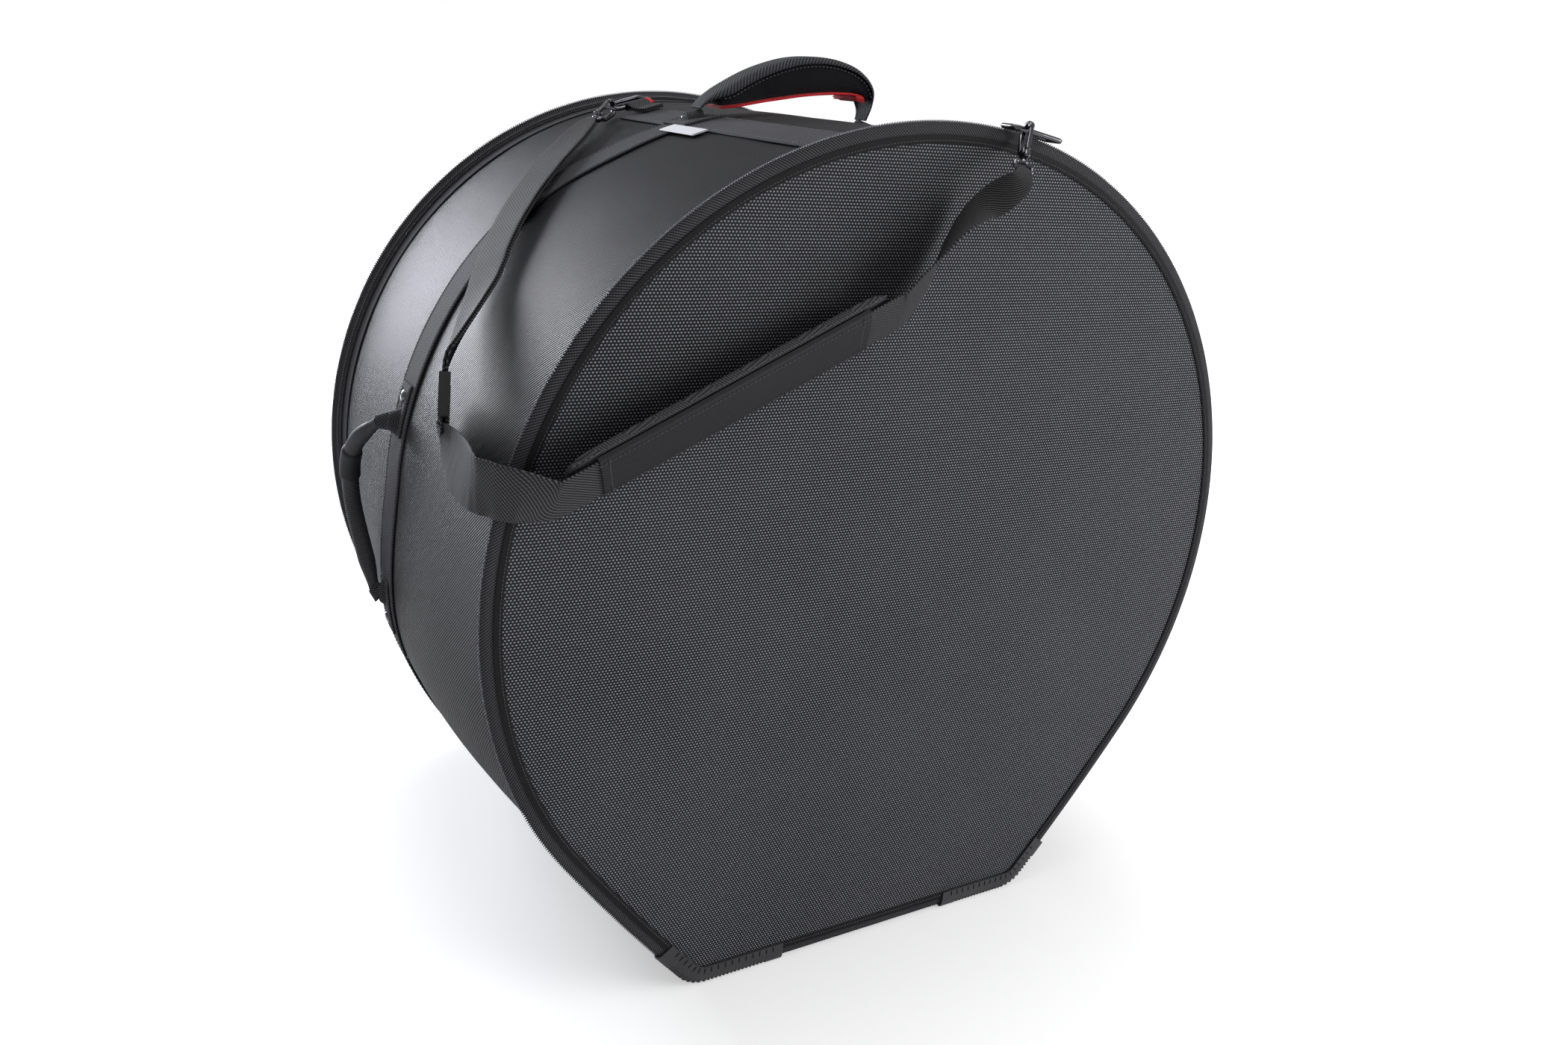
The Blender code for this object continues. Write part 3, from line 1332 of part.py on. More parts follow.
def build_tail(start, way, across, face):
    """Free tail of the web on the wall's side of the slider."""
    stations = []
    for index, (reach, depth, turn) in enumerate(TAIL_ROWS):
        turn = math.radians(turn)
        point = start + way * reach - face * (STRAP_LAYER + depth)
        if index == len(TAIL_ROWS) - 1:
            point = point + Vector(TAIL_DRIFT)
        stations.append((point, across * math.cos(turn) - face * math.sin(turn), TAIL_WIDTH))
    ribbon("strap_tail", stations, STRAP, black_web(), "bag")


def build_pad():
    centre, along, across, out = pad_axes()
    hold("shoulder_pad", centre, "bag")
    rows = []
    for place, wide, deep in PAD_END_SHARES:
        point = centre + along * (place * PAD_LENGTH / 2)
        front = [(a * wide, b) for a, b in PAD_SECTION_SHARES]
        row = [point + across * (a * PAD_WIDTH / 2) + out * (b * deep * PAD_FRONT) for a, b in front]
        row += [point + across * (a * PAD_WIDTH / 2) - out * (b * deep * PAD_BACK) for a, b in front[::-1]]
        rows.append(row)
    loft("shoulder_pad", rows, foam(), "shoulder_pad", smooth=40)
    frame = frame_at(centre, across, out)
    half = STRAP_WIDTH / 2 + SLEEVE_CLEARANCE
    top = PAD_FRONT + GAP + STRAP + GAP
    foot = PAD_FRONT * PAD_SECTION_SHARES[1][1] + GAP
    path = [(-half, foot), (-half, top), (half, top), (half, foot)]
    outline = offset_path(path, SLEEVE) + path[::-1]
    plate("pad_sleeve", frame, outline, -SLEEVE_LENGTH / 2, SLEEVE_LENGTH / 2, black_web(), "shoulder_pad")


def build_label():
    """Blank white tag folded over at the left cross web's edge."""
    edge = CROSS_WEB_ANGLE + web_half_angle(WEB_WIDTH) + math.degrees(GAP / BAG_RADIUS)
    low = GAP + WEB + GAP
    near = CENTRE_WEB_LOW - CENTRE_WEB_SHIFT / 4
    far, top = near - LABEL_LENGTH, low + LABEL
    section = [(far, low), (near, low), (near, top), (far, top)]
    width = math.degrees(LABEL_WIDTH / BAG_RADIUS)
    white = finish("white_label", (0.75, 0.76, 0.80), 0.6)
    sweep("white_label", [-edge, -edge - width / 2, -edge - width], section, white, "bag")


# The whole bag

def clear_scene():
    for item in list(bpy.data.objects):
        bpy.data.objects.remove(item)


def stand_on_floor():
    """Set the drum's frame so that the bag's box rests on the floor, centred over the origin."""
    bpy.context.view_layer.update()
    corners = []
    for item in bpy.context.scene.objects:
        if item.type == "MESH" and not item.hide_render:
            corners += [item.matrix_world @ vertex.co for vertex in item.data.vertices]
    low = Vector([min(corner[axis] for corner in corners) for axis in range(3)])
    high = Vector([max(corner[axis] for corner in corners) for axis in range(3)])
    middle = (low + high) / 2
    bpy.data.objects["bag_place"].location = Vector((-middle.x, -middle.y, -low.z))


def build():
    clear_scene()
    hold("bag", (0, 0, 0))
    hold("lid", (0, ZIP_Y, -BASE_DROP), "bag")
    build_shell()
    build_bindings()
    build_lid()
    build_hinge_strip()
    build_sliders(build_zip())
    build_guards()
    build_webs()
    build_top_handle()
    build_feet()
    for name, side in (("side_handle_left", -1), ("side_handle_right", 1)):
        build_side_handle(name, side)
    front, back, back_up = build_rings()
    front_hook, back_hook = build_hooks(front, back, back_up)
    build_strap(front_hook, back_hook)
    build_pad()
    build_label()
    stand_on_floor()


build()
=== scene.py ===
# Padded bass drum bag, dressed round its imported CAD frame
import math

import bmesh
import bpy
import numpy as np
from mathutils import Matrix


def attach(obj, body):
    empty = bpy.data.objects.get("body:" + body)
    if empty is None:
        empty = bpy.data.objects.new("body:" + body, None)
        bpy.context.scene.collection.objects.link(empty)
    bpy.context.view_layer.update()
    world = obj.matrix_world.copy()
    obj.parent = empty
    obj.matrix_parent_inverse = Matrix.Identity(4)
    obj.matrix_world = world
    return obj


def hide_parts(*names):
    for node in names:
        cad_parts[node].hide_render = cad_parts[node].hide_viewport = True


print("bag: loading the frame")
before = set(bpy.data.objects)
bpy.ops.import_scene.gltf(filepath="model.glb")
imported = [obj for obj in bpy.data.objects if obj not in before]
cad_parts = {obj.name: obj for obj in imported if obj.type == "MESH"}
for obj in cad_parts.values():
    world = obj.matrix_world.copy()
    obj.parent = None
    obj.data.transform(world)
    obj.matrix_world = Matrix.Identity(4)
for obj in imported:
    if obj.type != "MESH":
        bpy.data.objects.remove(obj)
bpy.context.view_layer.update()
rng = np.random.default_rng(12)

# Shape of the bag in the drum's own frame; centre is where that frame stands
bag = {
    "centre": np.array((0.00003, 0.0216, 0.3266)), "radius": 0.320, "baseDrop": 0.3163,
    "flankRadius": 1.79, "flankAngle": 125.4, "flankEnd": 130.4285, "cornerRadius": 0.020,
    "corner": (0.149114, -0.2963), "front": -0.2265, "back": 0.2265, "zipPlace": 0.2125,
    "bulge": 0.019, "bulgeStart": 84.0, "bulgeFull": 112.0, "bulgeFade": 120.0, "bulgeBase": 0.26,
    "bulgeFrom": -0.2165, "bulgeTo": 0.1955, "skin": 0.0016, "gap": 0.0003, "padding": 0.013,
}


def smoothStep(value):
    # 3t^2 - 2t^3 between 0 and 1
    value = np.clip(value, 0.0, 1.0)
    return value * value * (3 - 2 * value)


def outlineTable():
    # circle, bowed flank, round corner and flat base of the right half:
    # point = centre + radius * (sin a, cos a), then a straight run to the middle of the base
    flank = math.radians(bag["flankAngle"])
    reach = bag["flankRadius"] - bag["radius"]
    flankCentre = (-reach * math.sin(flank), -reach * math.cos(flank))
    parts = (
        (0.0, bag["flankAngle"], (0.0, 0.0), bag["radius"]),
        (bag["flankAngle"], bag["flankEnd"], flankCentre, bag["flankRadius"]),
        (bag["flankEnd"], 180.0, bag["corner"], bag["cornerRadius"]),
    )
    rows = []
    for low, high, centre, radius in parts:
        angle = np.linspace(low, high, 700)
        turn = np.radians(angle)
        nx, nz = np.sin(turn), np.cos(turn)
        rows.append(np.stack([angle, centre[0] + radius * nx, centre[1] + radius * nz, nx, nz], -1))
    x = np.linspace(bag["corner"][0], 0.0, 200)[1:]
    flat = np.zeros((len(x), 5))
    flat[:] = (180.0, 0.0, -bag["baseDrop"], 0.0, -1.0)
    flat[:, 1] = x
    table = np.concatenate(rows + [flat])
    steps = np.hypot(np.diff(table[:, 1]), np.diff(table[:, 2]))
    return np.concatenate([[0.0], np.cumsum(steps)]), table


walk, outline = outlineTable()
halfRound = walk[-1]


def placeAt(angle):
    # length walked from the top to an angle of the outline's normal
    return float(np.interp(abs(angle), outline[:, 0], walk)) * (1 if angle >= 0 else -1)


def bulgeAt(angle, y):
    # swell = height * start(angle) * fade(angle) * (1 - (distance from the middle / half)^2)
    start = smoothStep((angle - bag["bulgeStart"]) / (bag["bulgeFull"] - bag["bulgeStart"]))
    fade = smoothStep((angle - bag["bulgeFade"]) / (180.0 - bag["bulgeFade"]))
    middle = (bag["bulgeFrom"] + bag["bulgeTo"]) / 2
    half = (bag["bulgeTo"] - bag["bulgeFrom"]) / 2
    across = np.clip(1 - ((y - middle) / half) ** 2, 0.0, 1.0)
    return bag["bulge"] * start * (1 - (1 - bag["bulgeBase"]) * fade) * across


def wallAt(s, y, out):
    # outline point at length s, moved along its normal by out + bulge, at depth y
    s, y, out = np.broadcast_arrays(s, y, out)
    s = (s + halfRound) % (2 * halfRound) - halfRound
    size = np.abs(s)
    angle, x, z, nx, nz = (np.interp(size, walk, outline[:, k]) for k in range(5))
    push = out + bulgeAt(angle, y)
    return np.stack([np.sign(s) * (x + nx * push), y, z + nz * push], -1) + bag["centre"]


def normalAt(s):
    # outward normal of the outline, with no part along the depth
    s = (np.asarray(s, float) + halfRound) % (2 * halfRound) - halfRound
    nx, nz = (np.interp(np.abs(s), walk, outline[:, k]) for k in (3, 4))
    return np.stack([np.sign(s) * nx, np.zeros_like(nx), nz], -1)


# Meshes from arrays

def unit(vectors):
    return vectors / np.maximum(np.linalg.norm(vectors, axis=-1, keepdims=True), 1e-12)


def walked(points):
    # running length along a line of points
    return np.concatenate([[0.0], np.cumsum(np.linalg.norm(np.diff(points, axis=0), axis=1))])


def resample(rows, step, passes=0):
    # evenly spaced rows along a line, then averaged with their neighbours; the first 3 columns are the point
    rows = np.asarray(rows, float)
    length = walked(rows[:, :3])
    count = max(2, int(round(length[-1] / step)) + 1)
    places = np.linspace(0, length[-1], count)
    rows = np.stack([np.interp(places, length, rows[:, k]) for k in range(rows.shape[1])], -1)
    for _ in range(passes):
        rows[1:-1] = rows[1:-1] / 2 + (rows[:-2] + rows[2:]) / 4
    return rows


def cutCorners(points, passes=2, closed=True):
    # each corner is cut at a quarter and three quarters of its edges
    points = np.asarray(points, float)
    for _ in range(passes):
        after = np.roll(points, -1, axis=0) if closed else points[1:]
        here = points if closed else points[:-1]
        cut = np.stack([here * 0.75 + after * 0.25, here * 0.25 + after * 0.75], 1)
        cut = cut.reshape(-1, points.shape[1])
        points = cut if closed else np.concatenate([points[:1], cut, points[-1:]])
    return points


def newPiece(name, vertices, faces, uv=None, tidy=True):
    mesh = bpy.data.meshes.new(name)
    mesh.from_pydata(vertices.tolist(), [], faces)
    if uv is not None:
        layer = mesh.uv_layers.new(name="cloth")
        layer.data.foreach_set("uv", np.asarray(uv, np.float32).ravel())
    if tidy:
        work = bmesh.new()
        work.from_mesh(mesh)
        bmesh.ops.remove_doubles(work, verts=work.verts, dist=1e-6)
        bmesh.ops.recalc_face_normals(work, faces=work.faces)
        work.to_mesh(mesh)
        work.free()
    mesh.shade_smooth()
    mesh.set_sharp_from_angle(angle=math.radians(50))
    piece = bpy.data.objects.new(name, mesh)
    bpy.context.scene.collection.objects.link(piece)
    return piece


def surface(name, points, u=None, v=None, wrapRows=False, wrapCols=False, caps=False):
    # grid of points[row, column]; u runs along the rows and v along the columns, in metres
    rows, cols = points.shape[:2]
    u = walked(points[:, 0]) if u is None else np.asarray(u, float)
    v = walked(points[rows // 2]) if v is None else np.asarray(v, float)
    if wrapRows and len(u) == rows:
        u = np.append(u, 2 * u[-1] - u[-2])
    if wrapCols and len(v) == cols:
        v = np.append(v, 2 * v[-1] - v[-2])
    i, j = np.meshgrid(np.arange(rows if wrapRows else rows - 1),
                       np.arange(cols if wrapCols else cols - 1), indexing="ij")
    i2, j2 = (i + 1) % rows, (j + 1) % cols
    quads = np.stack([i * cols + j, i2 * cols + j, i2 * cols + j2, i * cols + j2], -1).reshape(-1, 4)
    uv = np.stack([np.stack([u[i], v[j]], -1), np.stack([u[i + 1], v[j]], -1),
                   np.stack([u[i + 1], v[j + 1]], -1), np.stack([u[i], v[j + 1]], -1)], 2).reshape(-1, 2)
    faces = quads.tolist()
    if caps:
        first = np.arange(cols)
        faces += [first.tolist(), (first + (rows - 1) * cols).tolist()]
        ends = [np.stack([np.full(cols, u[k]), v[:cols]], -1) for k in (0, rows - 1)]
        uv = np.concatenate([uv] + ends)
    return newPiece(name, points.reshape(-1, 3), faces, uv)


def finishPiece(piece, material, body, nodes=()):
    piece.data.materials.clear()
    piece.data.materials.append(material)
    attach(piece, body)
    if nodes:
        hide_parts(*nodes)
    return piece


def stadium(width, thick, across=9, round_=4):
    # flat section with half-round edges, from -width/2 to width/2; columns are across and up
    r = thick / 2
    top = np.linspace(width / 2 - r, r - width / 2, across)
    turn = np.linspace(90, 270, round_ + 1)[1:-1]
    left = np.stack([r - width / 2 + r * np.cos(np.radians(turn)), r * np.sin(np.radians(turn))], -1)
    right = -left
    upper = np.stack([top, np.full(across, r)], -1)
    return np.concatenate([upper, left, -upper, right])


def sweptRound(name, s, sectionY, sectionOut, closed=False, v=None):
    # closed section carried round the outline: point = wallAt(s, y, out)
    points = wallAt(s[:, None], sectionY, sectionOut)
    return surface(name, points, u=s, v=v, wrapRows=closed, wrapCols=True, caps=not closed)


def bandAlongDepth(name, s, width, yFrom, yTo, out, thick, steps=24):
    # web laid on the wall along the depth: its section runs round the outline
    section = stadium(width, thick, across=11)
    y = np.linspace(yFrom, yTo, steps)
    points = wallAt(s + section[None, :, 0], y[:, None], out + thick / 2 + section[None, :, 1])
    return surface(name, points, u=y, v=section[:, 0], wrapCols=True, caps=True)


def discShell(name, inset, yOuter, yInner, dip=0.0, dipWidth=0.03, rings=26, count=480, grow=0.0):
    # plate of the outline: point = middle + r * (edge - middle), with its outer face dipping to the edge
    s = np.linspace(-halfRound, halfRound, count, endpoint=False)
    edge = wallAt(s, -10.0, -inset + grow)
    middle = np.array((0.0, 0.0, -0.02)) + bag["centre"]
    share = np.concatenate([np.linspace(0, 0.86, rings // 2), np.linspace(0.88, 1, rings // 2)])
    size = np.hypot(edge[:, 0] - middle[0], edge[:, 2] - middle[2])
    gapToEdge = (1 - share[:, None]) * size[None]
    fall = dip * (1 - smoothStep(gapToEdge / dipWidth)) * (1 if yInner > yOuter else -1)
    rows = []
    for ys in (yOuter + fall, np.full((len(share), count), yInner)[::-1]):
        r = share if ys is not None and len(rows) == 0 else share[::-1]
        x = middle[0] + r[:, None] * (edge[None, :, 0] - middle[0])
        z = middle[2] + r[:, None] * (edge[None, :, 2] - middle[2])
        rows.append(np.stack([x, ys + bag["centre"][1], z], -1))
    points = np.concatenate(rows)
    return surface(name, points, u=np.arange(len(points)) * 0.01, v=s, wrapCols=True)


def ribbon(name, rows, thick, step=0.003, passes=3, cup=0.0):
    # web along a path: point + side * across + face * up, where rows hold point, side and width
    rows = resample(rows, step, passes)
    point, width = rows[:, :3], rows[:, 6:7]
    along = unit(np.gradient(point, axis=0))
    side = unit(rows[:, 3:6] - along * np.sum(rows[:, 3:6] * along, axis=1, keepdims=True))
    face = np.cross(along, side)
    section = stadium(1.0, 0.04, across=11)
    across = section[None, :, 0] * width
    up = section[None, :, 1] * (thick / 0.04) + cup * (2 * section[None, :, 0]) ** 2
    points = point[:, None] + side[:, None] * across[..., None] + face[:, None] * up[..., None]
    length = walked(point)
    return surface(name, points, u=length, v=section[:, 0] * np.max(width), wrapCols=True, caps=True), rows


def tube(name, path, radius, sides, reference, closed=False, ridge=0.0, pitch=0.002):
    # round section round a path: radius * (1 + ridge) * (side cos a + face sin a), flat on its reference
    path = np.asarray(path, float)
    around = np.roll(path, -1, axis=0) - np.roll(path, 1, axis=0) if closed else np.gradient(path, axis=0)
    along = unit(around)
    side = unit(np.cross(along, np.asarray(reference, float)))
    face = np.cross(along, side)
    turn = np.linspace(0, 2 * np.pi, sides, endpoint=False)
    length = walked(path)
    radius = np.broadcast_to(radius, len(path))
    size = radius[:, None] + ridge * np.sin(2 * np.pi * (length[:, None] + 0.4 * radius[:, None] * turn) / pitch)
    points = path[:, None] + (side[:, None] * np.cos(turn)[None, :, None]
                              + face[:, None] * np.sin(turn)[None, :, None]) * size[..., None]
    v = turn * float(np.max(radius))
    return surface(name, points, u=length, v=v, wrapRows=closed, wrapCols=True, caps=not closed)


def beadShape(sides=6, rings=3):
    # round-ended bead of unit length, width and height: rows of sides between two tips
    lift = np.linspace(0, np.pi, rings + 2)[1:-1]
    turn = np.linspace(0, 2 * np.pi, sides, endpoint=False)
    body = np.stack([np.repeat(-np.cos(lift), sides) / 2,
                     (np.sin(lift)[:, None] ** 0.6 * np.cos(turn)).ravel() / 2,
                     (np.sin(lift)[:, None] ** 0.6 * np.sin(turn)).ravel() / 2], -1)
    vertices = np.concatenate([body, [[-0.5, 0, 0], [0.5, 0, 0]]])
    first, last = len(body), len(body) + 1
    faces = []
    for k in range(sides):
        after = (k + 1) % sides
        faces.append((first, after, k))
        for ring in range(rings - 1):
            faces.append((ring * sides + k, ring * sides + after, (ring + 1) * sides + after,
                          (ring + 1) * sides + k))
        faces.append(((rings - 1) * sides + k, (rings - 1) * sides + after, last))
    return vertices, faces


def stamp(name, shape, places, along, up, size):
    # the same small shape at every place: place + along x + side y + up z
    vertices, faces = shape
    along = unit(along)
    up = unit(up - along * np.sum(up * along, axis=1, keepdims=True))
    side = np.cross(up, along)
    scaled = vertices * np.asarray(size, float)
    points = (places[:, None] + along[:, None] * scaled[None, :, :1] + side[:, None] * scaled[None, :, 1:2]
              + up[:, None] * scaled[None, :, 2:])
    made = []
    for length in sorted({len(face) for face in faces}):
        same = np.array([face for face in faces if len(face) == length])
        shifted = same[None] + (np.arange(len(places)) * len(vertices))[:, None, None]
        made += shifted.reshape(-1, length).tolist()
    return newPiece(name, points.reshape(-1, 3), made)


def stitches(name, line, up, pitch, size, material, body):
    # thread beads along a line, one every pitch
    rows = resample(np.concatenate([line, np.broadcast_to(up, line.shape)], 1), pitch)
    along = np.gradient(rows[:, :3], axis=0)
    piece = stamp(name, beadShape(), rows[:, :3], along, rows[:, 3:6], size)
    return finishPiece(piece, material, body)


# Finishes

def plug(tree, target, value):
    if isinstance(value, bpy.types.NodeSocket):
        tree.links.new(value, target)
    else:
        target.default_value = value


def maths(tree, kind, *values):
    node = tree.nodes.new("ShaderNodeMath")
    node.operation = kind
    for target, value in zip(node.inputs, values):
        plug(tree, target, value)
    return node.outputs[0]


def ramp(tree, value, fromLow, fromHigh, toLow, toHigh, kind="LINEAR"):
    node = tree.nodes.new("ShaderNodeMapRange")
    node.interpolation_type = kind
    for target, entry in zip(node.inputs, (value, fromLow, fromHigh, toLow, toHigh)):
        plug(tree, target, entry)
    return node.outputs[0]


def blendColour(tree, factor, low, high):
    node = tree.nodes.new("ShaderNodeMix")
    node.data_type = "RGBA"
    plug(tree, node.inputs[0], factor)
    plug(tree, node.inputs[6], low)
    plug(tree, node.inputs[7], high)
    return node.outputs[2]


def newGroup(name, inputs, outputs):
    tree = bpy.data.node_groups.new(name, "ShaderNodeTree")
    for label, kind, value in inputs:
        socket = tree.interface.new_socket(label, in_out="INPUT", socket_type=kind)
        if value is not None:
            socket.default_value = value
    for label in outputs:
        tree.interface.new_socket(label, in_out="OUTPUT", socket_type="NodeSocketFloat")
    return tree, tree.nodes.new("NodeGroupInput").outputs, tree.nodes.new("NodeGroupOutput").inputs


def dotGroup():
    # staggered round dots: distance from the nearest dot of a grid whose every second row is shifted
    tree, given, out = newGroup("raisedDots", (
        ("Place", "NodeSocketVector", None), ("Pitch", "NodeSocketFloat", 0.0022),
        ("Row", "NodeSocketFloat", 0.0019), ("Size", "NodeSocketFloat", 0.36)), ("Dot", "DotGlint"))
    split = tree.nodes.new("ShaderNodeSeparateXYZ")
    tree.links.new(given["Place"], split.inputs[0])
    u = maths(tree, "DIVIDE", split.outputs[0], given["Pitch"])
    v = maths(tree, "DIVIDE", split.outputs[1], given["Row"])
    row = maths(tree, "FLOOR", v)
    shift = maths(tree, "MULTIPLY", maths(tree, "FLOORED_MODULO", row, 2.0), 0.5)
    u = maths(tree, "ADD", u, shift)
    across = maths(tree, "SUBTRACT", maths(tree, "FRACT", u), 0.5)
    up = maths(tree, "SUBTRACT", maths(tree, "FRACT", v), 0.5)
    reach = maths(tree, "SQRT", maths(tree, "ADD", maths(tree, "MULTIPLY", across, across),
                                      maths(tree, "MULTIPLY", up, up)))
    plug(tree, out["Dot"], ramp(tree, reach, given["Size"], 0.08, 0.0, 1.0, "SMOOTHSTEP"))
    # one random value per dot: a painted glint that brightens some dots more than others
    noise = tree.nodes.new("ShaderNodeTexWhiteNoise")
    place = tree.nodes.new("ShaderNodeCombineXYZ")
    plug(tree, place.inputs[0], maths(tree, "FLOOR", u))
    plug(tree, place.inputs[1], row)
    tree.links.new(place.outputs[0], noise.inputs["Vector"])
    plug(tree, out["DotGlint"], noise.outputs["Value"])
    return tree


def twillGroup():
    # diagonal ribs sin(2 pi (x + slope * y) / pitch), broken into threads; y folds back at each stripe
    tree, given, out = newGroup("twillRibs", (
        ("Place", "NodeSocketVector", None), ("Pitch", "NodeSocketFloat", 0.0015),
        ("Slope", "NodeSocketFloat", 1.0), ("Stripe", "NodeSocketFloat", 10.0),
        ("Thread", "NodeSocketFloat", 0.35)), ("Rib",))
    split = tree.nodes.new("ShaderNodeSeparateXYZ")
    tree.links.new(given["Place"], split.inputs[0])
    x, y = split.outputs[0], maths(tree, "ADD", split.outputs[1], 5.0)
    y = maths(tree, "PINGPONG", y, given["Stripe"])
    slant = maths(tree, "ADD", x, maths(tree, "MULTIPLY", y, given["Slope"]))
    turn = maths(tree, "MULTIPLY", maths(tree, "DIVIDE", slant, given["Pitch"]), 2 * math.pi)
    rib = maths(tree, "MULTIPLY_ADD", maths(tree, "SINE", turn), 0.5, 0.5)
    other = maths(tree, "SUBTRACT", maths(tree, "MULTIPLY", x, given["Slope"]), y)
    turn = maths(tree, "MULTIPLY", maths(tree, "DIVIDE", other, given["Pitch"]), 2 * math.pi)
    thread = maths(tree, "MULTIPLY_ADD", maths(tree, "SINE", turn), 0.5, 0.5)
    kept = maths(tree, "SUBTRACT", 1.0, maths(tree, "MULTIPLY", given["Thread"], thread))
    plug(tree, out["Rib"], maths(tree, "MULTIPLY", rib, kept))
    return tree


def wearGroup():
    # slow patches of fade and a fine fuzz, both from noise in metres
    tree, given, out = newGroup("wornShade", (
        ("Place", "NodeSocketVector", None), ("Patch", "NodeSocketFloat", 9.0),
        ("Fuzz", "NodeSocketFloat", 900.0)), ("Fade", "Fibre"))
    for label, scale, detail in (("Fade", given["Patch"], 3.0), ("Fibre", given["Fuzz"], 2.0)):
        noise = tree.nodes.new("ShaderNodeTexNoise")
        noise.inputs["Detail"].default_value = detail
        tree.links.new(given["Place"], noise.inputs["Vector"])
        plug(tree, noise.inputs["Scale"], scale)
        plug(tree, out[label], ramp(tree, noise.outputs[0], 0.3, 0.7, 0.0, 1.0))
    return tree


groups = {"dots": dotGroup(), "twill": twillGroup(), "wear": wearGroup()}


def useGroup(tree, which, place, **values):
    node = tree.nodes.new("ShaderNodeGroup")
    node.node_tree = groups[which]
    plug(tree, node.inputs["Place"], place)
    for label, value in values.items():
        plug(tree, node.inputs[label], value)
    return node.outputs


def clothFinish(name, look):
    # low and high colours set apart by the pattern, faded by wear; the pattern also lifts the surface
    material = bpy.data.materials.new(name)
    material.use_nodes = True
    tree = material.node_tree
    shader = tree.nodes["Principled BSDF"]
    coordinates = tree.nodes.new("ShaderNodeTexCoord")
    solid = coordinates.outputs["Object"]
    place = coordinates.outputs["UV"]
    if look.get("flat"):
        split = tree.nodes.new("ShaderNodeSeparateXYZ")
        tree.links.new(solid, split.inputs[0])
        joined = tree.nodes.new("ShaderNodeCombineXYZ")
        for target, axis in zip(joined.inputs, look["flat"]):
            tree.links.new(split.outputs[axis], target)
        place = joined.outputs[0]
    wear = useGroup(tree, "wear", solid, Patch=look.get("patch", 9.0), Fuzz=look.get("fuzz", 900.0))
    if look["pattern"] == "dots":
        # raised dots: the dots are real, their pale high colour is a painted highlight and their random share per dot
        # a painted glint
        made = useGroup(tree, "dots", place, Pitch=look["pitch"], Row=look["row"], Size=look["size"])
        pattern = made["Dot"]
        glint = maths(tree, "MULTIPLY_ADD", made["DotGlint"], 0.25, 0.75)
        mask = maths(tree, "MULTIPLY", pattern, glint)
    elif look["pattern"] == "twill":
        made = useGroup(tree, "twill", place, Pitch=look["pitch"], Slope=look["slope"],
                        Stripe=look.get("stripe", 10.0), Thread=look.get("thread", 0.35))
        pattern = mask = made["Rib"]
    else:
        pattern = mask = wear["Fibre"]
    fibre = maths(tree, "MULTIPLY_ADD", wear["Fibre"], look.get("fibre", 0.2), 1 - look.get("fibre", 0.2) / 2)
    mask = maths(tree, "MULTIPLY", mask, fibre)
    colour = blendColour(tree, mask, (*look["low"], 1.0), (*look["high"], 1.0))
    faded = tuple(min(1.0, value * look.get("fade", 1.25)) for value in look["high"])
    amount = maths(tree, "MULTIPLY", wear["Fade"], look.get("fadeShare", 0.15))
    plug(tree, shader.inputs["Base Color"], blendColour(tree, amount, colour, (*faded, 1.0)))
    low, high = look["roughness"]
    plug(tree, shader.inputs["Roughness"], ramp(tree, mask, 0.0, 1.0, high, low))
    bump = tree.nodes.new("ShaderNodeBump")
    bump.inputs["Strength"].default_value = look.get("strength", 0.6)
    bump.inputs["Distance"].default_value = look["height"]
    height = maths(tree, "ADD", pattern, maths(tree, "MULTIPLY", wear["Fibre"], look.get("hair", 0.12)))
    plug(tree, bump.inputs["Height"], height)
    tree.links.new(bump.outputs[0], shader.inputs["Normal"])
    shader.inputs["Specular IOR Level"].default_value = look.get("specular", 0.4)
    shader.inputs["Sheen Weight"].default_value = look.get("sheen", 0.0)
    shader.inputs["Sheen Roughness"].default_value = 0.4
    return material


def hardFinish(name, look):
    # metal or plastic: one colour with faint blotches, hairline scratches in the roughness
    material = bpy.data.materials.new(name)
    material.use_nodes = True
    tree = material.node_tree
    shader = tree.nodes["Principled BSDF"]
    solid = tree.nodes.new("ShaderNodeTexCoord").outputs["Object"]
    wear = useGroup(tree, "wear", solid, Patch=look["patch"], Fuzz=look["fuzz"])
    plug(tree, shader.inputs["Base Color"],
         blendColour(tree, wear["Fade"], (*look["low"], 1.0), (*look["high"], 1.0)))
    plug(tree, shader.inputs["Roughness"], ramp(tree, wear["Fibre"], 0.0, 1.0, *look["roughness"]))
    bump = tree.nodes.new("ShaderNodeBump")
    bump.inputs["Strength"].default_value = 0.3
    bump.inputs["Distance"].default_value = look["height"]
    plug(tree, bump.inputs["Height"], wear["Fibre"])
    tree.links.new(bump.outputs[0], shader.inputs["Normal"])
    shader.inputs["Metallic"].default_value = look.get("metallic", 0.0)
    shader.inputs["Specular IOR Level"].default_value = look.get("specular", 0.5)
    return material


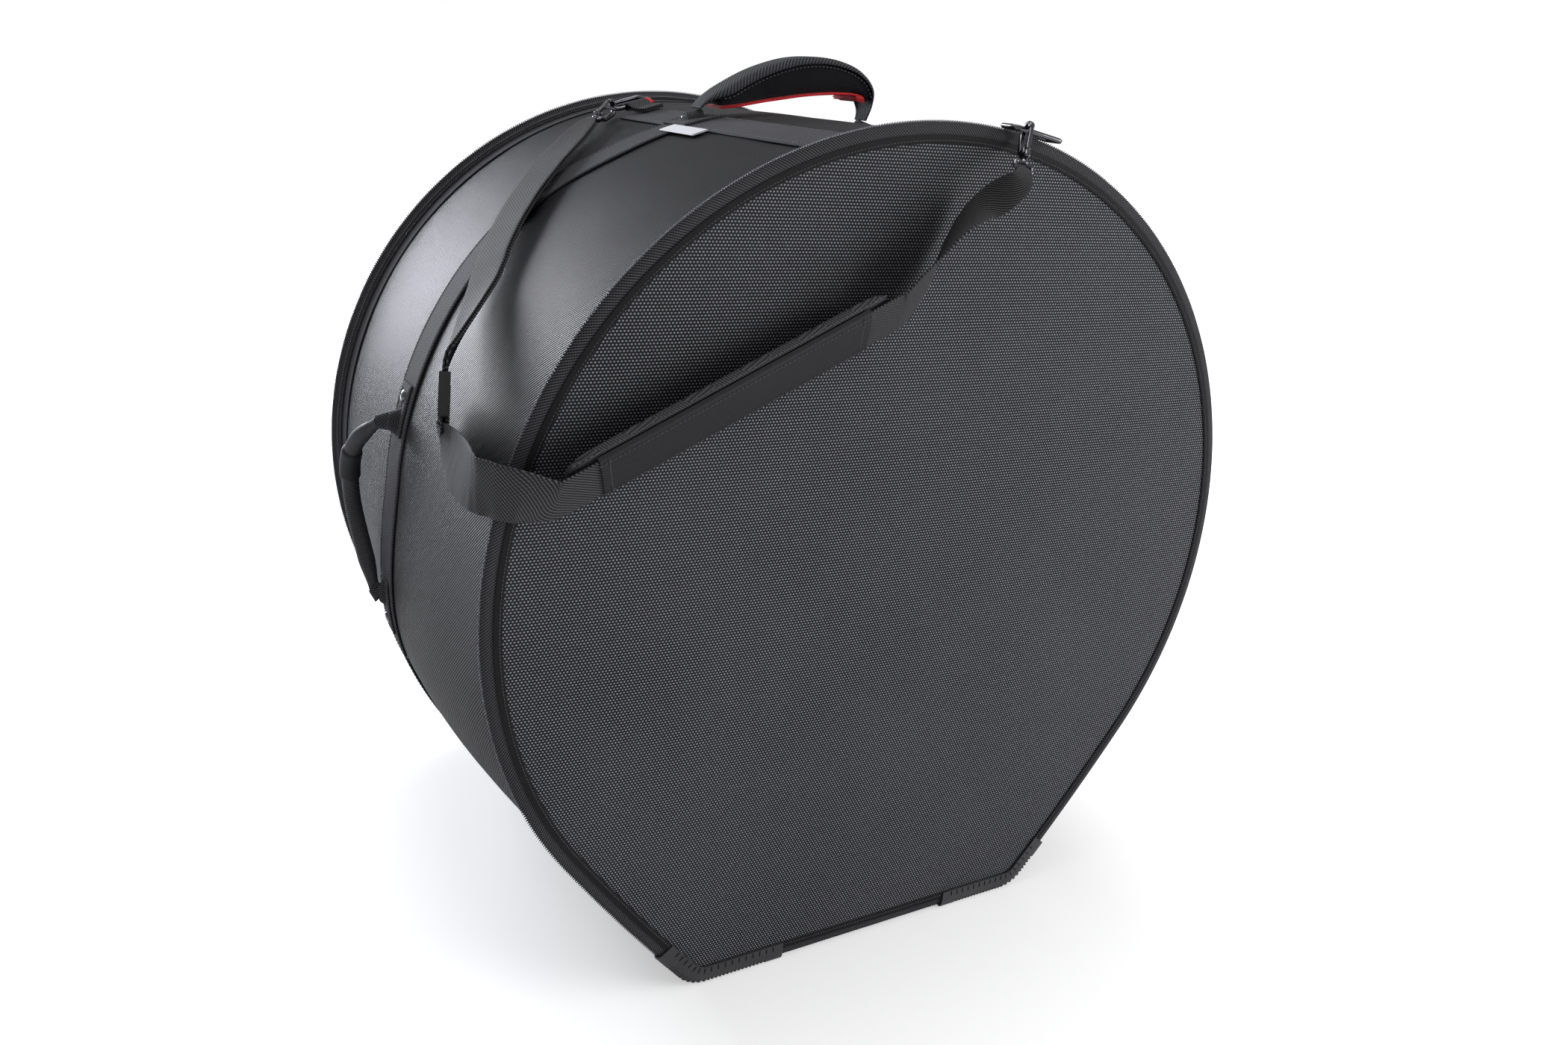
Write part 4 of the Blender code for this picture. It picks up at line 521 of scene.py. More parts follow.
print("bag: finishes")
clothLooks = {
    # the dots' pale high colour is a painted highlight on the raised dots, over a near-black ground
    "panelCloth": {"pattern": "dots", "flat": (0, 2, 1), "pitch": 0.0025, "row": 0.0021, "size": 0.42,
                   "low": (0.0020, 0.0020, 0.0030), "high": (0.290, 0.295, 0.325), "roughness": (0.45, 0.75),
                   "height": 0.0004, "specular": 0.25, "fadeShare": 0.02},
    "wallCloth": {"pattern": "twill", "pitch": 0.0027, "slope": 0.9, "low": (0.002, 0.002, 0.003),
                  "high": (0.015, 0.015, 0.019), "roughness": (0.38, 0.62), "height": 0.0006,
                  "specular": 0.15, "fadeShare": 0.05, "strength": 0.9},
    "bindingTwill": {"pattern": "twill", "pitch": 0.0021, "slope": 0.8, "thread": 0.5,
                     "low": (0.002, 0.002, 0.003), "high": (0.085, 0.085, 0.094), "roughness": (0.6, 0.85),
                     "height": 0.0004, "specular": 0.2},
    "webRibs": {"pattern": "twill", "pitch": 0.0024, "slope": 1.0, "stripe": 0.0065, "thread": 0.5,
                "low": (0.002, 0.002, 0.003), "high": (0.080, 0.080, 0.090), "roughness": (0.65, 0.9),
                "height": 0.0003, "specular": 0.2, "sheen": 0.02},
    "strapWeb": {"pattern": "twill", "pitch": 0.0028, "slope": 0.9, "thread": 0.45,
                 "low": (0.002, 0.002, 0.002), "high": (0.095, 0.095, 0.100), "roughness": (0.6, 0.9),
                 "height": 0.0004, "specular": 0.2, "strength": 0.9},
    "handleTwill": {"pattern": "twill", "pitch": 0.0032, "slope": 0.8, "low": (0.002, 0.002, 0.003),
                    "high": (0.062, 0.063, 0.074), "roughness": (0.65, 0.9), "height": 0.0003,
                    "specular": 0.2},
    "suede": {"pattern": "fuzz", "patch": 40.0, "fuzz": 1600.0, "low": (0.003, 0.003, 0.004),
              "high": (0.012, 0.012, 0.015), "roughness": (0.8, 0.95), "height": 0.0003, "sheen": 0.06,
              "specular": 0.1, "fadeShare": 0.3, "fade": 1.6},
    "gripRibs": {"pattern": "twill", "pitch": 0.0019, "slope": 0.25, "low": (0.006, 0.006, 0.007),
                 "high": (0.060, 0.060, 0.068), "roughness": (0.5, 0.8), "height": 0.0003},
    "padTwill": {"pattern": "twill", "flat": (0, 2, 1), "pitch": 0.0030, "slope": 1.6, "stripe": 0.009,
                 "low": (0.006, 0.006, 0.007), "high": (0.060, 0.060, 0.068), "roughness": (0.5, 0.8),
                 "height": 0.0004},
    "sleeveCloth": {"pattern": "twill", "pitch": 0.0010, "slope": 1.0, "low": (0.006, 0.006, 0.007),
                    "high": (0.026, 0.026, 0.029), "roughness": (0.5, 0.75), "height": 0.00012,
                    "specular": 0.3},
    "redMesh": {"pattern": "twill", "pitch": 0.0024, "slope": 0.15, "low": (0.36, 0.004, 0.008),
                "high": (0.83, 0.012, 0.022), "roughness": (0.6, 0.85), "height": 0.0005,
                "specular": 0.3, "sheen": 0.1, "fade": 1.0},
    "labelCloth": {"pattern": "twill", "pitch": 0.0008, "slope": 1.0, "low": (0.62, 0.63, 0.68),
                   "high": (0.80, 0.81, 0.86), "roughness": (0.45, 0.6), "height": 0.0001, "fade": 1.0},
    "liningCloth": {"pattern": "twill", "pitch": 0.0012, "slope": 0.7, "low": (0.018, 0.018, 0.020),
                    "high": (0.042, 0.042, 0.047), "roughness": (0.6, 0.85), "height": 0.00015},
    # near black: painted shade in the seam beside each binding, and the dark thread in the corner guards' slots
    "seamShadeAndThread": {"pattern": "twill", "pitch": 0.0010, "slope": 1.0, "low": (0.003, 0.003, 0.003),
                   "high": (0.014, 0.014, 0.016), "roughness": (0.6, 0.85), "height": 0.0001,
                   "specular": 0.2},
    "paleThread": {"pattern": "fuzz", "fuzz": 2500.0, "low": (0.060, 0.060, 0.066),
                   "high": (0.270, 0.270, 0.300), "roughness": (0.4, 0.7), "height": 0.0002},
    "thread": {"pattern": "fuzz", "fuzz": 2500.0, "low": (0.020, 0.020, 0.022),
               "high": (0.090, 0.090, 0.098), "roughness": (0.5, 0.8), "height": 0.0002},
}
hardLooks = {
    "darkChrome": {"low": (0.10, 0.10, 0.11), "high": (0.17, 0.17, 0.18), "metallic": 1.0,
                   "roughness": (0.14, 0.26), "patch": 60.0, "fuzz": 700.0, "height": 0.00005},
    "guardPlastic": {"low": (0.026, 0.026, 0.029), "high": (0.042, 0.042, 0.046),
                     "roughness": (0.34, 0.50), "patch": 30.0, "fuzz": 1800.0, "height": 0.00008},
    "coilPlastic": {"low": (0.008, 0.008, 0.009), "high": (0.020, 0.020, 0.022),
                    "roughness": (0.30, 0.45), "patch": 40.0, "fuzz": 1200.0, "height": 0.00005},
    "sliderPlastic": {"low": (0.012, 0.012, 0.013), "high": (0.022, 0.022, 0.024),
                      "roughness": (0.22, 0.36), "patch": 60.0, "fuzz": 1200.0, "height": 0.00005},
}
finishes = {name: clothFinish(name, look) for name, look in clothLooks.items()}
finishes.update({name: hardFinish(name, look) for name, look in hardLooks.items()})

# Outer skin, padding and lining
print("bag: shell")
shell = {"stations": 720, "columns": 38, "softness": 0.00035, "panelDip": 0.0005}
loopS = np.linspace(-halfRound, halfRound, shell["stations"], endpoint=False)
loopU = np.linspace(0, 2 * halfRound, shell["stations"] + 1)
gap, skin = bag["gap"], bag["skin"]
front, back, zipPlace = bag["front"], bag["back"], bag["zipPlace"]


def wallSkin(name, yFrom, yTo, outer, inner, columns, soft):
    # outer face rippled by two slow waves; the inner face runs back at its own depth
    y = np.linspace(yFrom, yTo, columns)
    rim = np.array((0.0, 0.35, 0.65, 1.0))[1:3]
    wave = np.sin(31 * loopS[:, None] + 9 * y) * np.sin(40 * y + 3 * np.sin(5 * loopS[:, None]))
    edge = np.clip((y - yFrom) * (yTo - y) / (0.25 * (yTo - yFrom) ** 2) * 3, 0, 1)
    outerRow = outer + soft * wave * edge
    innerY = np.linspace(yTo, yFrom, columns // 2)
    sectionY = np.concatenate([y, np.full(2, yTo), innerY, np.full(2, yFrom)])
    ends = outer + (inner - outer) * rim
    out = np.concatenate([outerRow, np.broadcast_to(ends, (len(loopS), 2)),
                          np.full((len(loopS), len(innerY)), inner),
                          np.broadcast_to(ends[::-1], (len(loopS), 2))], 1)
    v = np.concatenate([[0.0], np.cumsum(np.hypot(np.diff(sectionY), np.diff(out[0])))])
    return sweptRound(name, loopS, sectionY[None], out, closed=True, v=v)


wall = wallSkin("sideWall", front + skin + gap, zipPlace - gap, 0.0, -skin, shell["columns"], shell["softness"])
finishPiece(wall, finishes["wallCloth"], "bag", ("side_wall",))
padFront = front + skin + 2 * gap + bag["padding"]
lining = wallSkin("sidePadding", padFront, zipPlace - 0.0035, -skin - gap, -skin - gap - 0.0145, 20, 0.0)
finishPiece(lining, finishes["liningCloth"], "bag", ("side_padding", "side_lining"))
panel = discShell("frontPanel", 0.0, front, front + skin, shell["panelDip"])
finishPiece(panel, finishes["panelCloth"], "bag", ("front_panel",))
plate = discShell("frontPadding", skin + gap, front + skin + gap, padFront + 0.0012)
finishPiece(plate, finishes["liningCloth"], "bag", ("front_padding", "front_lining"))
lidPanel = discShell("lidPanel", 0.0, back, back - skin, shell["panelDip"])
finishPiece(lidPanel, finishes["panelCloth"], "lid", ("lid_panel",))
lidPad = discShell("lidPadding", skin + 0.0008, zipPlace - 0.0023, back - skin - 2 * gap, 0.001, 0.012)
finishPiece(lidPad, finishes["liningCloth"], "lid", ("lid_padding", "lid_lining"))
rimY = np.array((zipPlace + gap, back - skin - gap, back - skin - gap, zipPlace + gap))
rim = sweptRound("lidRim", loopS, rimY[None], np.array((0.0, 0.0, -skin, -skin))[None], closed=True)
finishPiece(rim, finishes["wallCloth"], "lid", ("lid_rim",))

# Piped bindings with real twill ridges
print("bag: bindings")
binding = {"crest": 0.0085, "width": 0.010, "edge": 0.0005, "pitch": 0.0021, "ridge": 0.00018,
           "step": 0.00052, "stitch": 0.0034, "whip": 0.0020,
           "shape": ((0.0, 0.0003), (0.03, 0.57), (0.17, 0.93), (0.30, 1.0), (0.43, 0.93), (0.79, 0.38),
                     (1.0, 0.03))}


def makeBinding(name, face, inwards, body, node):
    # ridges: out + ridge * sin(2 pi (s + 0.8 v) / pitch), with v along the section
    shares = np.array(binding["shape"])
    section = cutCorners(np.stack([binding["edge"] + shares[:, 0] * (binding["width"] - binding["edge"]),
                                   np.maximum(shares[:, 1] * binding["crest"], gap)], -1), 2, closed=False)
    foot = np.linspace(section[-1], section[0], 4)[1:-1]
    section = np.concatenate([section, foot])
    v = walked(section)
    count = int(2 * halfRound / binding["step"])
    s = np.linspace(-halfRound, halfRound, count, endpoint=False)
    shape = np.clip(section[:, 1] / binding["crest"] * 3, 0, 1)
    ridge = binding["ridge"] * (np.sin(2 * np.pi * (s[:, None] + 0.8 * v) / binding["pitch"]) - 1) * shape
    points = wallAt(s[:, None], face + inwards * section[None, :, 0], section[None, :, 1] + ridge)
    piece = surface(name, points, u=s, v=v, wrapRows=True, wrapCols=True)
    finishPiece(piece, finishes["bindingTwill"], body, (node,))
    # near-black ring over the panel's rim next to the binding: painted shade in the seam between panel and binding
    shadeRingY = np.array((-0.0004, -0.0006, -0.0006, -0.0004, 0.0012, 0.0012))
    shadeRingOut = np.array((-0.0056, -0.0050, -0.0006, 0.0003, 0.0003, -0.0056))
    shadeRing = sweptRound(name + "SeamShade", loopS, (face + inwards * shadeRingY)[None], shadeRingOut[None], closed=True)
    finishPiece(shadeRing, finishes["seamShadeAndThread"], body)
    line = wallAt(loopS, face - inwards * 0.0007, -0.0036)
    stitches(name + "Stitch", line, np.array((0.0, -inwards, 0.0)), 0.0026, (0.0019, 0.0007, 0.0006),
             finishes["thread"], body)
    whips = np.arange(-halfRound, halfRound, binding["whip"])
    ahead = np.cross(normalAt(whips), (0.0, inwards, 0.0))
    for label, y, out, size, slant in (("Whip", 0.0046, 0.0083, 0.0034, 0.35), ("Seam", 0.0080, 0.0038, 0.0014, 2.0)):
        slope = np.array((0.0, inwards * 0.0024, 0.0)) - normalAt(whips) * 0.0022
        row = stamp(name + label, beadShape(), wallAt(whips, face + inwards * y, out),
                    unit(slope) + slant * ahead, normalAt(whips) + (0.0, inwards * 0.9, 0.0),
                    (size, 0.0010, 0.0011))
        finishPiece(row, finishes["paleThread"], body)


makeBinding("frontBinding", front, 1, "bag", "front_binding")
makeBinding("backBinding", back, -1, "lid", "back_binding")

# Zip: tapes, coil teeth and the folded web that hinges the lid
print("bag: zip")
zipper = {"end": placeAt(bag["flankEnd"]), "tape": 0.0008, "width": 0.017, "pitch": 0.0017,
          "tooth": (0.0019, 0.0012, 0.0018)}
zipS = np.linspace(-zipper["end"], zipper["end"], 560)
tapeOut = gap + zipper["tape"] / 2
for side, body, edge, outwards, width in (("Body", "bag", zipPlace - gap, -1, zipper["width"]),
                                          ("Lid", "lid", zipPlace + gap, 1, 0.0034)):
    section = stadium(width, zipper["tape"], across=7, round_=3)
    tapeY = edge + outwards * width / 2 + section[:, 0]
    tape = sweptRound("zipTape" + side, zipS, tapeY[None], (tapeOut + section[:, 1])[None], v=section[:, 0])
    finishPiece(tape, finishes["webRibs"], body, ("zip_tape_" + side.lower(),))
    toothS = np.arange(-zipper["end"], zipper["end"], zipper["pitch"]) + (0 if side == "Body" else 0.0008)
    toothY = zipPlace + outwards * 0.0012
    places = wallAt(toothS, toothY, gap * 2 + zipper["tape"] + 0.0009)
    across = np.tile(np.array((0.0, 1.0, 0.0)), (len(toothS), 1))
    teeth = stamp("zipCoil" + side, beadShape(6, 3), places, across, normalAt(toothS), zipper["tooth"])
    finishPiece(teeth, finishes["coilPlastic"], body, ("zip_coil_" + side.lower(),))
strip = stadium(0.0217, 0.0010, across=9)
stripS = np.linspace(halfRound - 0.128, halfRound + 0.128, 60)
hinge = sweptRound("hingeStrip", stripS, (zipPlace - gap - 0.0109 + strip[:, 0])[None],
                   (gap + 0.0005 + strip[:, 1])[None], v=strip[:, 0])
finishPiece(hinge, finishes["webRibs"], "bag", ("lid_hinge_strip",))


def roundedCopy(name, node, body, width, finish):
    # the CAD piece with its loose triangles merged and its edges rounded
    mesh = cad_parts[node].data.copy()
    work = bmesh.new()
    work.from_mesh(mesh)
    bmesh.ops.remove_doubles(work, verts=work.verts, dist=1e-5)
    bmesh.ops.dissolve_limit(work, angle_limit=math.radians(2), verts=work.verts, edges=work.edges)
    work.to_mesh(mesh)
    work.free()
    mesh.shade_smooth()
    piece = bpy.data.objects.new(name, mesh)
    bpy.context.scene.collection.objects.link(piece)
    edge = piece.modifiers.new("edge", "BEVEL")
    edge.width = width
    edge.segments = 3
    edge.limit_method = "ANGLE"
    edge.angle_limit = math.radians(35)
    return finishPiece(piece, finishes[finish], body, (node,))


for side in ("left", "right"):
    label = side.capitalize()
    roundedCopy("zipSlider" + label, "zip_slider_" + side, "zip_slider_" + side, 0.0003, "darkChrome")
    roundedCopy("zipPull" + label, "zip_pull_" + side, "zip_pull_" + side, 0.0003, "darkChrome")

# Corner guards: a C section with grooves round the corner and slotted stitching on its flange
print("bag: corner guards")
guard = {"inner": ((-0.0003, -0.006), (-0.0003, 0.0048), (0.0012, 0.0088), (0.0050, 0.0088),
                   (0.0082, 0.0042)),
         "outer": ((0.0096, 0.0047), (0.0053, 0.0103), (0.0006, 0.0103), (-0.0018, 0.0054),
                   (-0.0018, -0.006)),
         "start": placeAt(129.3726), "baseX": 0.081, "pitch": 0.0034, "plain": 0.014, "pinch": 0.30, "heart": (0.0032, 0.0050)}


def makeGuard(name, face, inwards, sign, body, node):
    # ribs: the outer side is drawn towards its heart by pinch * (0.5 - 0.5 cos(2 pi s / pitch))^1.5
    inner = cutCorners(np.array(guard["inner"]), 2, closed=False)
    outer = cutCorners(np.array(guard["outer"]), 2, closed=False)
    section = np.concatenate([inner, outer])
    s = np.arange(guard["start"], halfRound - guard["baseX"], 0.0004)
    near = smoothStep((np.minimum(s - s[0], s[-1] - s) - guard["plain"]) / 0.002)
    ribs = (0.5 - 0.5 * np.cos(2 * np.pi * s / guard["pitch"])) ** 1.5 * near
    outside = np.concatenate([np.zeros(len(inner)), smoothStep((outer[:, 1] - 0.0050) / 0.002)])
    drawn = guard["pinch"] * ribs[:, None] * outside[None]
    y = section[None, :, 0] + drawn * (guard["heart"][0] - section[None, :, 0])
    out = section[None, :, 1] + drawn * (guard["heart"][1] - section[None, :, 1])
    points = wallAt(sign * s[:, None], face + inwards * y, out)
    piece = surface(name, points, u=s, v=walked(section), wrapCols=True, caps=True)
    finishPiece(piece, finishes["guardPlastic"], body, (node,))
    places = np.arange(s[0] + 0.010, s[-1] - 0.008, 0.0062)
    spots = wallAt(sign * places, face - inwards * 0.0019, -0.0028)
    inward = -normalAt(sign * places)
    up = np.tile(np.array((0.0, -inwards, 0.0)), (len(places), 1))
    slots = stamp(name + "Stitch", beadShape(), spots, inward, up, (0.0052, 0.0009, 0.0009))
    finishPiece(slots, finishes["seamShadeAndThread"], body)


for faceName, face, inwards, body in (("Front", front, 1, "bag"), ("Back", back, -1, "lid")):
    for side, sign in (("Left", -1), ("Right", 1)):
        makeGuard("guard" + faceName + side, face, inwards, sign, body,
                  "corner_guard_" + faceName.lower() + "_" + side.lower())

# Webs sewn on the wall
print("bag: webs")
web = {"thick": 0.0015, "width": 0.038, "low": 0.010, "high": 0.048, "shift": 0.020,
       "shiftFrom": 26.0, "shiftTo": 42.0, "crossAngle": 14.5, "crossFront": front + 0.0103,
       "crossBack": 0.1175, "stitchIn": 0.0030, "stitch": 0.0034}
crossEdge = web["crossAngle"] + math.degrees(web["width"] / 2 / bag["radius"])
webS = np.linspace(placeAt(crossEdge) + gap, 2 * halfRound - placeAt(crossEdge) - gap, 620)


def webShift(s):
    # the web moves forward near the top: shift * (1 - smoothstep of the angle)
    size = np.abs((s + halfRound) % (2 * halfRound) - halfRound)
    angle = np.interp(size, walk, outline[:, 0])
    return web["shift"] * (1 - smoothStep((angle - web["shiftFrom"]) / (web["shiftTo"] - web["shiftFrom"])))


section = stadium(web["width"], web["thick"], across=13)
webY = (web["low"] + web["high"]) / 2 - webShift(webS)
centreWeb = sweptRound("centreWeb", webS, webY[:, None] + section[None, :, 0],
                       gap + web["thick"] / 2 + section[None, :, 1], v=section[:, 0])
finishPiece(centreWeb, finishes["webRibs"], "bag", ("centre_web",))
for label, place in (("Front", -1), ("Back", 1)):
    offset = place * (web["width"] / 2 - web["stitchIn"])
    line = wallAt(webS, webY + offset, gap + web["thick"] + 0.0001)
    stitches("centreWebStitch" + label, line, normalAt(webS), web["stitch"], (0.0027, 0.0009, 0.0007),
             finishes["thread"], "bag")
for side, sign in (("Left", -1), ("Right", 1)):
    s = sign * placeAt(web["crossAngle"])
    band = bandAlongDepth("crossWeb" + side, s, web["width"], web["crossFront"], web["crossBack"], gap,
                          web["thick"], 60)
    finishPiece(band, finishes["webRibs"], "bag", ("cross_web_" + side.lower(),))
    y = np.linspace(web["crossFront"] + 0.002, web["crossBack"] - 0.002, 120)
    for label, place in (("In", -1), ("Out", 1)):
        edge = s + place * (web["width"] / 2 - web["stitchIn"])
        line = wallAt(edge, y, gap + web["thick"] + 0.0001)
        stitches("crossWebStitch" + side + label, line, normalAt(np.full(len(y), edge)), web["stitch"],
                 (0.0027, 0.0009, 0.0007), finishes["thread"], "bag")

# Top handle
print("bag: top handle")
handle = {
    "y": 0.0316, "width": 0.040, "padWidth": 0.036, "endWidth": 0.018, "web": 0.0015, "pad": 0.026,
    "lining": 0.0020, "curl": 0.0042,
    "curve": ((-0.0801, 0.6475), (-0.0737, 0.6552), (-0.0688, 0.6586), (-0.0627, 0.6625),
              (-0.0561, 0.6664), (-0.0491, 0.6705), (-0.0415, 0.6747), (-0.0336, 0.6787),
              (-0.0252, 0.6823), (-0.0164, 0.6856), (-0.0080, 0.6883), (-0.0004, 0.6904),
              (0.0069, 0.6919), (0.0145, 0.6929), (0.0229, 0.6935), (0.0317, 0.6935),
              (0.0401, 0.6929), (0.0481, 0.6916), (0.0558, 0.6897), (0.0625, 0.6873),
              (0.0704, 0.6828), (0.0761, 0.6776), (0.0798, 0.6721), (0.0818, 0.6664),
              (0.0818, 0.6552), (0.0785, 0.6460)),
}
curve = np.array(handle["curve"])
path = resample(np.stack([curve[:, 0], np.full(len(curve), handle["y"]), curve[:, 1]], -1), 0.0012, 12)
share = walked(path) / walked(path)[-1]
pathAlong = unit(np.gradient(path, axis=0))
pathDown = unit(np.cross(pathAlong, np.array((0.0, 1.0, 0.0))))
pathDown = pathDown * np.sign(-np.sum(pathDown * (path - np.array((0, handle["y"], 0.62))), 1, keepdims=True))
taper = smoothStep(np.minimum(share, 1 - share) * 7)
swellOf = np.sin(np.pi * np.clip(share, 0, 1)) ** 0.8


def alongHandle(name, rows, side, down, material, nodes):
    # section carried along the handle: path + y * side + down * depth
    keep = slice(*rows)
    points = (path[keep, None] + np.array((0.0, 1.0, 0.0)) * side[keep][..., None]
              + pathDown[keep, None] * down[keep][..., None])
    piece = surface(name, points, u=walked(path)[keep], v=walked(points[len(points) // 2]), wrapCols=True,
                    caps=True)
    return finishPiece(piece, material, "top_handle", nodes)


section = stadium(1.0, 0.04, across=15)
bandWidth = handle["endWidth"] + (handle["width"] - handle["endWidth"]) * taper
side = section[None, :, 0] * bandWidth[:, None] * (1 - 0.04 * np.abs(2 * section[None, :, 0]) ** 3)
curl = handle["curl"] * taper[:, None] * np.abs(2 * section[None, :, 0]) ** 5
depth = handle["web"] / 2 - section[None, :, 1] * (handle["web"] / 0.04) + curl
count = len(path)
alongHandle("handleBand", (0, count), side, depth, finishes["handleTwill"], ("top_handle_web",))
turn = np.linspace(0, 2 * np.pi, 40, endpoint=False)
padHalf = (handle["endWidth"] + (handle["padWidth"] - handle["endWidth"]) * taper) / 2
cosine, sine = np.cos(turn), np.sin(turn)
padSide = padHalf[:, None] * np.sign(cosine) * np.abs(cosine) ** 0.45
padDepth = handle["web"] + gap + handle["pad"] * swellOf
middle = (handle["web"] + gap + padDepth) / 2
padDown = middle[:, None] + ((padDepth - handle["web"] - gap) / 2)[:, None] * np.sign(sine) * np.abs(sine) ** 0.6
inner = (int(count * 0.07), int(count * 0.93))
handlePad = alongHandle("handlePad", inner, padSide * 0.97, padDown, finishes["suede"],
                        ("top_handle_pad",))
section = stadium(1.0, 0.04, across=13)
redSide = section[None, :, 0] * padHalf[:, None] * 2
length = walked(path)
bundle = smoothStep((share - 0.80) / 0.07) * (1 - smoothStep((share - 0.95) / 0.04))
folds = 0.5 + 0.5 * np.sin(2 * np.pi * length / 0.0085 + 0.6)
knit = 0.00025 * np.sin(2 * np.pi * length / 0.0024)
redDown = ((padDepth + gap + handle["lining"] / 2)[:, None]
           + section[None, :, 1] * (handle["lining"] / 0.04)
           + np.where(section[None, :, 1] > 0, (bundle * (0.003 + 0.004 * folds) + knit)[:, None], 0.0))
alongHandle("handleLining", inner, redSide, redDown, finishes["redMesh"], ("top_handle_lining",))
for label, sign in (("Front", -1), ("Back", 1)):
    edge = slice(int(count * 0.10), int(count * 0.90))
    line = path[edge] + np.array((0.0, 1.0, 0.0)) * (sign * (padHalf[edge] + 0.0004))[:, None]
    line = line + pathDown[edge] * (0.0075 * taper[edge])[:, None]
    stitches("handleStitch" + label, line, np.array((0.0, sign, 0.0)), 0.0036, (0.0024, 0.0011, 0.0009),
             finishes["thread"], "top_handle")


def roundRivet(name, s, y, out, body="bag"):
    # domed head: radius * cos and height * sin of one quarter turn
    normal = normalAt(np.array([s]))[0]
    centre = wallAt(s, y, out).reshape(3)
    one = np.array((0.0, 1.0, 0.0))
    two = np.cross(normal, one)
    lift = np.linspace(0, np.pi / 2, 7)[:, None]
    turn = np.linspace(0, 2 * np.pi, 24, endpoint=False)[None]
    radius, height = 0.0048 * np.cos(lift) ** 0.7, 0.0018 * np.sin(lift)
    points = (centre + (radius * np.cos(turn))[..., None] * one + (radius * np.sin(turn))[..., None] * two
              + (height * np.ones_like(turn))[..., None] * normal)
    foot = points[:1] - normal * 0.0006
    piece = surface(name, np.concatenate([foot, points]), wrapCols=True, caps=True)
    return finishPiece(piece, finishes["darkChrome"], body)


def boxStitch(name, s, y, halfS, halfY, out):
    # sewn square with its two diagonals
    corners = np.array(((-1, -1), (1, -1), (1, 1), (-1, 1), (-1, -1), (1, 1), (1, 1), (-1, 1), (1, -1)), float)
    runs = resample(np.concatenate([corners * (halfS, halfY), np.zeros((9, 1))], 1), 0.001)
    line = wallAt(s + runs[:, 0], y + runs[:, 1], out)
    stitches(name, line, normalAt(s + runs[:, 0]), 0.0031, (0.0025, 0.0009, 0.0007), finishes["thread"], "bag")


foot = {"length": 0.040, "y": 0.010, "fold": 0.0052, "foldWidth": 0.014, "low": 0.0021}
for side, sign in (("Left", -1), ("Right", 1)):
    s = sign * placeAt(web["crossAngle"])
    piece = bandAlongDepth("handleFoot" + side, s, web["width"] - 0.0006, foot["y"] - foot["length"] / 2,
                           foot["y"] + foot["length"] / 2, foot["low"], web["thick"])
    finishPiece(piece, finishes["webRibs"], "bag", ("handle_foot_" + side.lower(),))
    lift = np.linspace(0, np.pi, 17)
    ring = np.concatenate([np.stack([np.cos(lift), np.sin(lift)], -1), np.stack([-np.cos(lift), 0 * lift], -1)])
    places = s + np.linspace(-0.5, 0.5, 12)[:, None] * foot["foldWidth"]
    top = foot["low"] + web["thick"]
    points = wallAt(places, foot["y"] + ring[None, :, 0] * foot["fold"], top + ring[None, :, 1] * foot["fold"])
    fold = surface("handleFold" + side, points, wrapCols=True, caps=True)
    finishPiece(fold, finishes["webRibs"], "bag")
    boxStitch("footStitch" + side, s, foot["y"], 0.0155, 0.0165, top + 0.0001)
    roundRivet("footRivet" + side, s, foot["y"] + 0.0125, top)

# Side handles
print("bag: side handles")
grip = {
    "radius": 0.0068, "cover": 0.0015, "coverShares": (0.28, 0.46), "angles": (77.0, 102.0),
    "middle": 0.029, "tabWidth": 0.024, "tabLength": 0.042, "gusset": (0.0078, 0.0044),
    "path": ((-0.3280, 0.0564, 0.3987), (-0.3390, 0.0796, 0.3809), (-0.3416, 0.0999, 0.3601),
             (-0.3407, 0.1086, 0.3367), (-0.3396, 0.1057, 0.3141), (-0.3376, 0.0941, 0.2946),
             (-0.3365, 0.0767, 0.2768), (-0.3357, 0.0556, 0.2597)),
}


